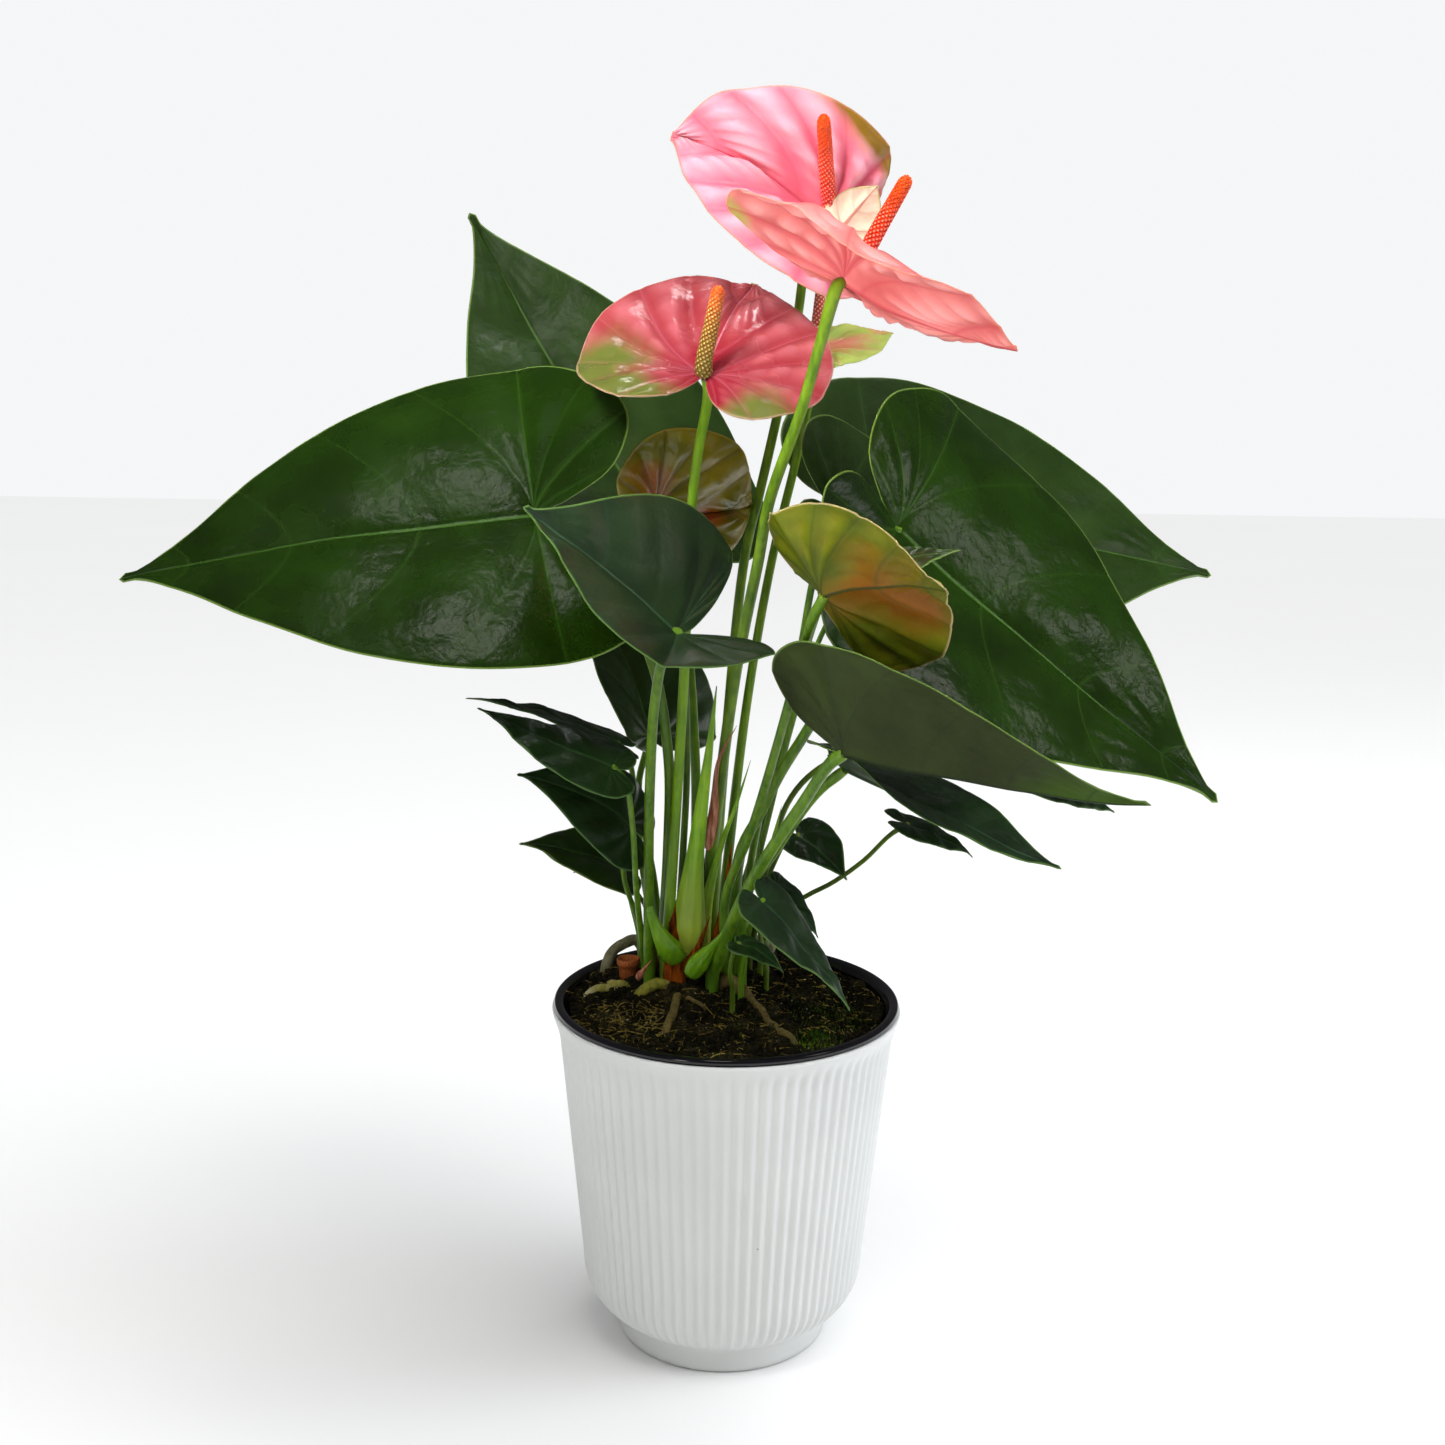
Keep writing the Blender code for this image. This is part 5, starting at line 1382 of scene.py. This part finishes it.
LEAVES = [
    Leaf("leaf_left_large", Blade((-64, -20, 290), 193, -5, -70, 137, (0.39, 0.42), (1.0, 0.9), 26,
        (20, -5), (-8, -24), 9, (1, 31)), Stalk((-23, 12), 1.9, [(-21, 5, 174), (-21, -1, 207),
        (-27, -7, 242), (-43, -14, 272)]), Skin.GLOSSY),
    Leaf("leaf_back_left_tall", Blade((-33, 58, 289), 141, 45, -6, 138, (0.37, 0.42), (1.0, 0.8),
        -10, (12, 16), (-18, -25), -34, (0, -5)), Stalk((-14, 32), 1.9, [(-12, 36, 166),
        (-13, 42, 205), (-19, 51, 255)]), Skin.SHADED),
    Leaf("leaf_right_large", Blade((51, -29, 289), 7, -41, 48, 142, (0.43, 0.39), (0.6, 0.8), -6,
        (16, 12), (-27, -25), 7, (7, 29)), Stalk((2, 8), 2.0, [(4, 0, 174), (10, -3, 188),
        (17, -7, 204), (26, -12, 221), (38, -19, 247), (46, -26, 274)]), Skin.GLOSSY),
    Leaf("leaf_front_right", Blade((34, -71, 225), -40, -4, -60, 96, (0.36, 0.39), (0.8, 1.0), -12,
        (50, 11), (-10, -10), 14, (0, 9)), Stalk((-5, -2), 2.1, [(4, -20, 162), (13, -35, 184),
        (22, -50, 203), (30, -64, 220)]), Skin.OLIVE, Stem.BRIGHT,
        (Patch(0.85, 0.5, 0.4, 0.9, 0.9), Patch(0.5, 0.9, 0.3, 0.4, 0.6))),
    Leaf("leaf_front_left", Blade((-17, -59, 259), 188, 42, -5, 59, (0.41, 0.75), (1.8, 0.2), 6,
        (-8, 51), (-25, -25), -22, (39, 1)), Stalk((-27, 2), 1.8, [(-27, -12, 168),
        (-26, -30, 206), (-24, -45, 235), (-21, -54, 251)]), Skin.SLATE),
    Leaf("leaf_right_low", Blade((36, -42, 213), -12, -22, -10, 74, (0.33, 0.32), (0.3, 0.2), -1,
        (17, 17), (-16, -8), 44, (1, 1)), Stalk((5, 1), 1.7, [(7, -6, 162), (16, -16, 180),
        (25, -28, 198), (30, -35, 206)]), Skin.SLATE, Stem.BRIGHT),
    Leaf("leaf_right_small", Blade((59, -20, 190), 8, -19, 13, 26, (0.35, 0.35), (1.0, 1.0), 16,
        (10, 9), (-20, -19), 8), Stalk((12, 13), 0.9, [(15, 11, 146), (27, 6, 157), (36, 3, 163),
        (46, -4, 173), (54, -14, 185)]), Skin.DARK, Stem.OLIVE),
    Leaf("leaf_right_hidden", Blade((92, -22, 209), 19, -16, 14, 44, (0.35, 0.36), (1.0, 1.0), 14,
        (10, 10), (-20, -18), 17), Stalk((8, 20), 1.1, [(21, 16, 189), (36, 7, 206), (52, -2, 212),
        (76, -13, 213)]), Skin.DARK, Stem.OLIVE),
    Leaf("leaf_left_narrow", Blade((-39, 4, 211), 177, 25, -1, 54, (0.29, 0.29), (0.5, 0.3), 19,
        (10, 10), (-20, -18), 11, (-2, -2)), Stalk((-25, 19), 1.1, [(-30, 18, 159), (-33, 16, 189),
        (-35, 10, 204)]), Skin.DARK),
    Leaf("leaf_left_slim", Blade((-38, -34, 211), 179, 21, -22, 47, (0.31, 0.29), (0.6, 0.4), -6,
        (6, 6), (-21, -24), -4), Stalk((-29, 8), 1.1, [(-31, -13, 164), (-32, -25, 191),
        (-34, -31, 206)]), Skin.DARK),
    Leaf("leaf_middle_back", Blade((-29, 45, 205), 129, 66, 20, 61, (0.45, 0.61), (0.3, 0.3), 23,
        (20, 15), (-8, -17), -35, (0, 3)), Stalk((-24, 26), 1.4, [(-27, 30, 156), (-31, 36, 174),
        (-33, 41, 189)]), Skin.SHADED),
    Leaf("leaf_left_low", Blade((-34, -5, 184), 212, 45, -44, 44, (0.39, 0.47), (0.8, 1.0), 45,
        (4, 13), (-33, -19), -9, (8, -4)), Stalk((-28, 16), 1.0, [(-32, 9, 148), (-36, 3, 163),
        (-36, -2, 175)]), Skin.DARK),
    Leaf("leaf_left_lowest", Blade((-37, 18, 163), 201, 27, -33, 39, (0.33, 0.37), (0.5, 0.5), 26,
        (10, 15), (-21, -18), -9), Stalk((-31, 21), 0.9, [(-32, 20, 139), (-35, 19, 152)]),
        Skin.SHADED),
    Leaf("leaf_left_tiny", Blade((-42, 24, 158), 171, 15, 4, 14, (0.40, 0.40), (1.0, 1.0), 23),
        Stalk((-27, 30), 0.8, [(-30, 28, 146), (-35, 26, 154)]), Skin.DARK, Stem.OLIVE),
    Leaf("leaf_right_round", Blade((24, 2, 180), -42, -17, 13, 24, (0.50, 0.40), (0.6, 0.5), 27,
        (14, 11), (-18, -17), 6, (-1, 1)), Stalk((14, 18), 0.9, [(13, 13, 157), (16, 9, 168),
        (20, 6, 177)]), Skin.DARK, Stem.OLIVE),
    Leaf("leaf_front_hanging", Blade((11, -36, 168), -12, -45, 13, 46, (0.30, 0.31), (0.4, 0.5), 9,
        (10, 10), (-18, -24), -8, (-2, 3)), Stalk((5, -6), 0.9, [(7, -12, 149), (9, -24, 160),
        (10, -32, 166)]), Skin.SLATE),
    Leaf("leaf_front_small", Blade((16, -8, 164), -10, -36, 15, 23, (0.42, 0.40), (0.6, 0.6), 26,
        (10, 10), (-22, -20), 2), Stalk((14, 4), 0.8, [(11, 5, 147), (12, 0, 156)]), Skin.DARK,
        Stem.OLIVE),
    Leaf("leaf_soil_tiny", Blade((4, -23, 149), -27, -9, 7, 18, (0.35, 0.35), (0.5, 0.5), 31,
        (11, 10), (-20, -21)), Stalk((2, -16), 0.8, [(1, -19, 138), (2, -21, 145)]), Skin.DARK,
        Stem.OLIVE),
    Leaf("leaf_back_right", Blade((52, 58, 285), 11, -5, 47, 141, (0.45, 0.39), (0.8, 0.3), 13,
        (5, 8), (-2, -21), 7, (4, 0)), Stalk((-1, 28), 1.9, [(9, 37, 161), (20, 46, 205),
        (28, 54, 241), (38, 57, 267)]), Skin.SHADED),
    Leaf("leaf_right_inner", Blade((32, 4, 292), 8, -46, 47, 69, (0.60, 0.30), (1.2, 0.4), 25,
        (9, 10), (-19, -20)), Stalk((4, 26), 1.4, [(10, 22, 177), (17, 17, 211), (23, 12, 240),
        (27, 7, 268)]), Skin.SHADED),
    Leaf("leaf_right_curled", Blade((41, -57, 278), -2, 22, 30, 28, (0.29, 0.31), (0.8, 0.8), 19,
        (8, 9), (-21, -20), -3), Stalk((3, 19), 1.0, [(12, 8, 177), (21, -4, 222), (28, -20, 251),
        (36, -40, 271)]), Skin.SHADED),
    Leaf("young_leaf_left", Blade((-27, 2, 289), 23, -1, 101, 46, (0.70, 0.51), (0.9, 0.8), 41,
        (26, 22), (-26, -16), 4, (4, 0)), Stalk((-18, 20), 1.3, [(-16, 16, 171), (-15, 13, 204),
        (-17, 9, 243), (-24, 5, 274)]), Skin.BRONZE, patches=(Patch(-0.05, 0.35, 0.2, 0.3, 0.7),
        Patch(0.4, -0.05, 0.35, 0.22, 0.8), Patch(-0.2, 0.6, 0.2, 0.2, 0.4)), extra={"quilt": 2.4,
        "groove": 0.4, "pucker": 0.6, "curve": 1.7, "slant": 1.6}),
    Leaf("young_leaf_right", Blade((26, -80, 273), -40, 17, -61, 55, (0.58, 0.53), (0.1, 1.2), 37,
        (7, -2), (5, 2), -3, (0, 41)), Stalk((0, 2), 1.6, [(-1, -3, 158), (7, -18, 186),
        (14, -39, 218), (19, -57, 244), (23, -73, 265)]), Skin.RUSSET, Stem.BRIGHT,
        (Patch(0.45, -0.1, 0.42, 0.5, 0.55), Patch(0.55, 0.32, 0.34, 0.3, 0.6),
        Patch(0.12, 0.1, 0.2, 0.3, 0.4)), {"quilt": 2.4, "groove": 0.5, "pucker": 0.6,
        "curve": 1.7, "slant": 1.4}),
]
GROWN_TOGETHER = {"leaf_right_curled": "leaf_right_large"}

BLOOMS = [
    Bloom("flower_top", Blade((28, 24, 386), 195, 42, -60, 60, (0.53, 0.56), (1.0, 0.6), 47,
        (16, 41), (-19, -15), -23, (0, -32)), Stalk((-6, 31), 1.8, [(-2, 33, 200), (4, 33, 272),
        (9, 31, 296), (14, 30, 320), (20, 29, 351)]), (26, -4, 416), 2.8, Skin.PINK, Spike.ORANGE,
        (Patch(-0.1, -1.0, 0.34, 0.26, 1.1), Patch(0.2, -1.05, 0.2, 0.14, 0.8),
        Patch(-0.35, -0.6, 0.16, 0.35, 1.0)), lobe=Blade((34.5, 15, 384), 0, 52, -82, 17,
        (0.6, 0.48), (1.0, 1.0), 30, (20, 20), (-30, -30)), extra={"quilt": 5.0, "groove": 0.5,
        "pucker": 0.45, "shoulder": (0.08, 0.13)}),
    Bloom("flower_front", Blade((31, -45, 363), -38, -30, -56, 58, (0.41, 0.81), (1.2, 1.6), -35,
        (40, 15), (-5, -83), 16, (-12, -31)), Stalk((-10, 22), 2.0, [(1, 0, 234), (8, -13, 276),
        (11, -22, 296), (20, -34, 325), (25, -41, 345)]), (50, -40, 394), 2.8, Skin.CORAL,
        Spike.ORANGE, (Patch(-0.6, -0.3, 0.1, 0.5, 0.9), Patch(0.84, -0.9, 0.05, 0.2, 0.9)), 2.0,
        None, {"quilt": -3.0, "wave": 1.5, "groove": -0.5, "pucker": 0.8}),
    # This bloom's stalk wears the lighter stalk skin, painted light, as it stands in its spathe's
    # shade
    Bloom("flower_left", Blade((-10, -18, 335), 74, 40, 0, 67, (0.62, 0.58), (1.1, 0.6), 24,
        (17, 3), (-17, -24), 11, (19, -10)), Stalk((-21.5, 5), 1.8, [(-18, -3, 193),
        (-16, -6, 235), (-14, -12, 292), (-12, -15, 311)]), (-6, -26, 362), 2.8, Skin.CRIMSON,
        Spike.RIPE, (Patch(-0.08, 0.78, 0.28, 0.36, 1.0), Patch(-0.36, 0.45, 0.14, 0.4, 1.2),
        Patch(-0.27, -0.5, 0.17, 0.42, 1.4), Patch(1.0, 0.0, 0.05, 0.1, 1.0)), stem=Stem.PEDUNCLE_PAINTED_LIT),
    Bloom("flower_back", Blade((28, 40, 344), 26, 21, 14, 32, (0.60, 0.55), (0.8, 0.8), 19, (7, 8),
        (-25, -22), 9), Stalk((-3, 37), 1.7, [(6, 40, 220), (14, 43, 271), (21, 42, 303),
        (26, 41, 327)]), (29, 40, 367), 2.2, Skin.GREENED, Spike.CORAL,
        (Patch(0.3, -0.2, 0.35, 0.5, 0.8), Patch(0.95, 0.3, 0.2, 0.4, 0.7))),
]

SPINDLES = [
    Spindle("sheath_large_ribbed", [(-14, 4, 116), (-14, 3, 142), (-13, 2, 158), (-10, 0, 187),
        (-7, -3, 213), (-5, -5, 233)], 12.0, 6.0, Stem.SHEATH.value, "sheath_green",
        ("sheath_large",), waist=0.17),
    Spindle("sheath_second_ribbed", [(-8, 13, 116), (-8, 11, 148), (-3, 8, 173), (3, 5, 192),
        (7, 3, 206)], 5.0, 3.0, Stem.SHEATH.value, "sheath_green", ("sheath_second",), 7),
    Spindle("bract_brown_dried", [(-7.4, 2, 174), (-5.5, 2, 187), (-4, 1, 206), (2, -2, 219)], 4.0,
        1.2, Ground.BRACT.value, "bract_brown", ("bract_brown",), 11),
    Spindle("sheath_wedge_left", [(-16, -2, 135), (-19.5, -4.5, 140), (-24, -6.5, 148),
        (-27, -9, 158), (-27, -11.5, 169)], 8.0, 5.0, Stem.WEDGE.value, "sheath_green"),
    Spindle("sheath_wedge_right", [(-13, -5, 130.5), (-10.5, -6, 135), (-6.5, -8, 141),
        (-2, -12, 148), (2, -17, 158)], 7.0, 5.2, Stem.WEDGE.value, "sheath_green"),
    Spindle("husk_orange_left", [(-18, 1, 118), (-18.5, 0, 132), (-19, 1, 150), (-20, 2, 168)],
        8.0, 3.0, Ground.CORE.value, "bract_brown", (), 7),
    Spindle("husk_orange_front", [(-14, 0, 131), (-12.5, -1, 135), (-9.5, -2, 142), (-6, -2, 152)],
        4.6, 2.6, Ground.CORE.value, "bract_brown", (), 7),
    Spindle("husk_orange_right", [(-4, 8, 118), (-3, 7, 138), (-1, 6, 156), (1, 5, 176)], 8.0, 3.0,
        Ground.CORE.value, "bract_brown", (), 7),
    # Dark husks between the petioles: old husk, and painted shade where the crown's gaps lie in
    # shadow
    Spindle("husk_and_shade_middle", [(-11, 12, 116), (-11, 12, 136), (-10, 12, 156), (-9, 12, 176)],
        13.0, 4.0, Ground.HUSK_AND_SHADE.value, "bract_brown", (), 9),
    Spindle("husk_and_shade_left", [(-22, 12, 116), (-22, 12, 134), (-22, 13, 152), (-22, 13, 172)],
        12.0, 4.0, Ground.HUSK_AND_SHADE.value, "bract_brown", (), 9),
    Spindle("husk_and_shade_right", [(2, 13, 116), (3, 13, 132), (5, 12, 148), (7, 12, 160)], 10.0, 4.0,
        Ground.HUSK_AND_SHADE.value, "bract_brown", (), 9),
    Spindle("sheath_tip_slender", [(15, 8, 170), (16, 6, 180), (18, 4, 190)], 2.4, 1.2,
        Stem.SHEATH.value, "sheath_green", (), 5),
    Spindle("bract_pink_narrow", [(-19.5, 8, 190), (-21, 8, 200), (-23, 8, 210)], 2.6, 0.9,
        Ground.BRACT.value, "bract_brown", (), 5),
    Spindle("bract_papery", [(-31, -4, 129), (-29, -4.5, 132.5), (-26, -4, 136.5)], 2.8, 0.6,
        Ground.BRACT.value, "bract_brown", (), 5, 0.6),
]

ROOTS = [
    Root("root_left_bark", 2.0, [(-29, 34, -6), (-33, 33, 8), (-38, 31, 8), (-42, 28, 6),
        (-45, 25, -3)], Stem.ROOT_GREY, "root_left"),
    Root("root_right_bark", 2.3, [(4, 37, -6), (5, 35, 8), (9, 33, 9), (14, 31, 8), (17, 30, 6)],
        Stem.ROOT_GREY, "root_right"),
    Root("root_tan_bark", 1.3, [(7, -5, -5), (8.5, -8, 0.6), (12, -14, 0.6), (17, -25, 0.4),
        (22, -33, 0.3), (25, -38, -4)], Stem.ROOT_TAN, "root_tan"),
    Root("root_front_bark", 1.5, [(-16, -3, -5), (-17, -7, 0.5), (-18, -18, 0.5), (-20, -27, 0),
        (-21, -33, -5)], Stem.ROOT_TAN, "root_front"),
    Root("root_cream_bark", 1.5, [(-52, 5, -4), (-47, 4.5, 0.8), (-42, 4, 1), (-37, 3, 1.2),
        (-33.5, 5.5, -4)], Stem.ROOT_CREAM, "root_cream"),
    Root("root_shoulder_bark", 2.3, [(-4, 2, -3), (0, -1, 2.0), (5, -3, 1.8), (9, -6, -2.5)],
        Stem.ROOT_TAN),
    Root("root_stub_bark", 2.1, [(-31, -3, -2), (-28, -3, 1.6), (-24, -2, 2.6), (-20, -1, -1)],
        Stem.STUB),
    Root("root_fine_bark", 0.7, [(-14, -8, -2), (-13, -10, 0.9), (-10, -13, 1.1), (-8, -15, 0.6),
        (-6, -15, -1)], Stem.ROOT_TAN),
    Root("root_pale_bark", 1.1, [(-44, 8, -2), (-41, 8, 0.8), (-39, 7, 1.0), (-37, 6, -1)],
        Stem.ROOT_CREAM),
]


@dataclass
class Plant:
    """The anthurium: leaves, blooms, sheaths, roots and the plug it was raised in."""

    soil: Soil
    plug_place: tuple[float, float] = (-35.0, 14.0)

    def build(self) -> None:
        """Make every piece of the plant."""
        made = {leaf.name: leaf.build(i + 1) for i, leaf in enumerate(LEAVES)}
        for guest, host in GROWN_TOGETHER.items():
            joined(made[host], made.pop(guest))
        for name, thing in made.items():
            young = name.startswith("young")
            finish_piece(thing, "leaf_bronze" if young else "leaf_green", name)
        for i, bloom in enumerate(BLOOMS):
            bloom.build(40 + i)
        for spindle in SPINDLES:
            spindle.build()
        for root in ROOTS:
            root.build(self.soil)
        x, y = self.plug_place
        profile = [(0, 0, 0), (3.0, 0, 0), (3.3, 2.8, 0), (3.6, 5.4, 0), (3.9, 5.6, 0),
                   (4.15, 5.9, 0), (4.2, 6.4, 0), (4.2, 7.8, 0), (4.05, 8.0, 0), (3.6, 8.0, 0),
                   (3.4, 7.9, 0), (3.1, 6.6, 0), (0, 6.4, 0)]
        TurnedPiece("rooting_plug_pressed", "rooting_plug", "plug_brown", Ground.PLUG.value,
                    profile, 48, place=(x, y, self.soil.height(x, y) - 1.0)).build()


# -------------------------------------------------------------------------- studio and camera


@dataclass
class Studio:
    """A pale floor, soft lights and the camera at the photograph's angle."""

    eye: Spot = (-2.84, -589.0, 335.3)
    down: float = 11.11
    roll: float = 0.893
    lens: float = 44.12

    def camera(self) -> None:
        """Set the camera where the photograph was taken from."""
        p, r = math.radians(self.down), math.radians(self.roll)
        level, upright = Vector((1, 0, 0)), Vector((0.0, math.sin(p), math.cos(p)))
        right = math.cos(r) * level + math.sin(r) * upright
        up = math.cos(r) * upright - math.sin(r) * level
        data = bpy.data.cameras.new("photo_camera")
        data.lens, data.sensor_width, data.sensor_fit = self.lens, 36.0, "AUTO"
        data.clip_start, data.clip_end = 0.01, 20.0
        eye = placed("photo_camera", data)
        eye.matrix_world = Matrix.Translation(Vector(self.eye) * MM) @ Matrix(
            (right, up, Vector((0.0, -math.cos(p), math.sin(p))))).transposed().to_4x4()
        bpy.context.scene.camera = eye

    def light(self, name: str, spot: Spot, aim: Spot, size: float, power: float, colour: str,
              mirrored: bool = True, spread: float = 180.0) -> None:
        """Hang one soft square light.

        Args:
            name: its name.
            spot: where it hangs.
            aim: where it points.
            size: its side.
            power: its power in watts.
            colour: its colour.
            mirrored: whether glossy things mirror it.
            spread: how wide its beam opens, in degrees.
        """
        data = bpy.data.lights.new(name, "AREA")
        data.spread = math.radians(spread)
        data.size, data.energy, data.color = size * MM, power, linear(colour)[:3]
        lamp = placed(name, data)
        lamp.location, lamp.visible_glossy = Vector(spot) * MM, mirrored
        lamp.rotation_euler = (Vector(aim) - Vector(spot)).to_track_quat("-Z", "Y").to_euler()

    def build(self) -> None:
        """Set up floor, world, lights and camera."""
        floor = new_piece("floor", [(-4000, -4000, -0.3), (4000, -4000, -0.3),
                                    (4000, 4000, -0.3), (-4000, 4000, -0.3)], [(0, 1, 2, 3)])
        # Backdrop paper: matt and near white, with clouds so faint that it reads as plain
        paper = bpy.data.materials.new("backdrop_paper")
        paper.use_nodes = True
        tree = paper.node_tree
        cloud = add(tree, NOISE, {"Vector": add(tree, COORDS, out="Object"), "Scale": 3.0})
        tone = add(tree, MIX, {0: cloud, 6: linear("#fbfbfb"), 7: linear("#f8f8f8")}, **COLOURS)
        feed(tree, tree.nodes["Principled BSDF"], {"Base Color": tone, "Roughness": 0.9})
        floor.data.materials.append(paper)
        # The backdrop is white, but lights softly and is hardly mirrored, as in a dim studio
        world = bpy.context.scene.world = bpy.data.worlds.new("studio")
        world.use_nodes = True
        sky = world.node_tree
        ray = add(sky, "ShaderNodeLightPath", out=None)
        power = add(sky, MATH, ray["Is Camera Ray"], 0.66, 0.3, operation="MULTIPLY_ADD")
        power = add(sky, MATH, ray["Is Glossy Ray"], -0.22, power, operation="MULTIPLY_ADD")
        feed(sky, sky.nodes["Background"], {0: linear("#fafbfc"), 1: power})
        for light in (
                ("window_left", (-450, -860, 330), (0, 0, 380), 130, 0.5, "#fff8ee"),
                ("window_front", (-70, -530, 1130), (-60, 0, 280), 230, 0.8, "#fffaf4"),
                ("window_side", (880, -390, 760), (60, -30, 260), 220, 0.045, "#fffaf4", True, 50),
                ("window_back", (105, 430, 1244), (-10, -18, 335), 100, 0.06, "#ffffff", True, 50),
                ("window_right", (900, -60, 420), (0, 0, 150), 450, 3.2, "#eef4ff", False),
                ("top_soft", (0, 300, 1300), (0, 0, 250), 700, 1.6, "#ffffff", False),
                ("bloom_key", (-330, -420, 800), (10, 10, 385), 220, 0.45, "#ffffff", False, 40),
                ("bloom_low", (-420, -620, 170), (45, -60, 375), 90, 0.05, "#ffffff", False, 16)):
            self.light(*light)
        glow = bpy.data.lights.new("ceiling_glow", "SUN")
        glow.energy, glow.angle = 2.3, math.radians(60)
        lamp = placed("ceiling_glow", glow)
        lamp.rotation_euler = Vector((-0.35, 0.12, -0.9)).to_track_quat("-Z", "Y").to_euler()
        lamp.visible_glossy = False
        self.camera()
        view = bpy.context.scene.view_settings
        view.view_transform, view.look = "Standard", "None"


def main() -> None:
    """Build the studio, the pots, the soil and the plant."""
    logging.basicConfig(level=logging.INFO, format="%(name)s: %(message)s")
    soil = Soil()
    for made in (Studio(), white_pot(), black_pot(), soil, Plant(soil)):
        made.build()


if __name__ == "__main__":
    main()
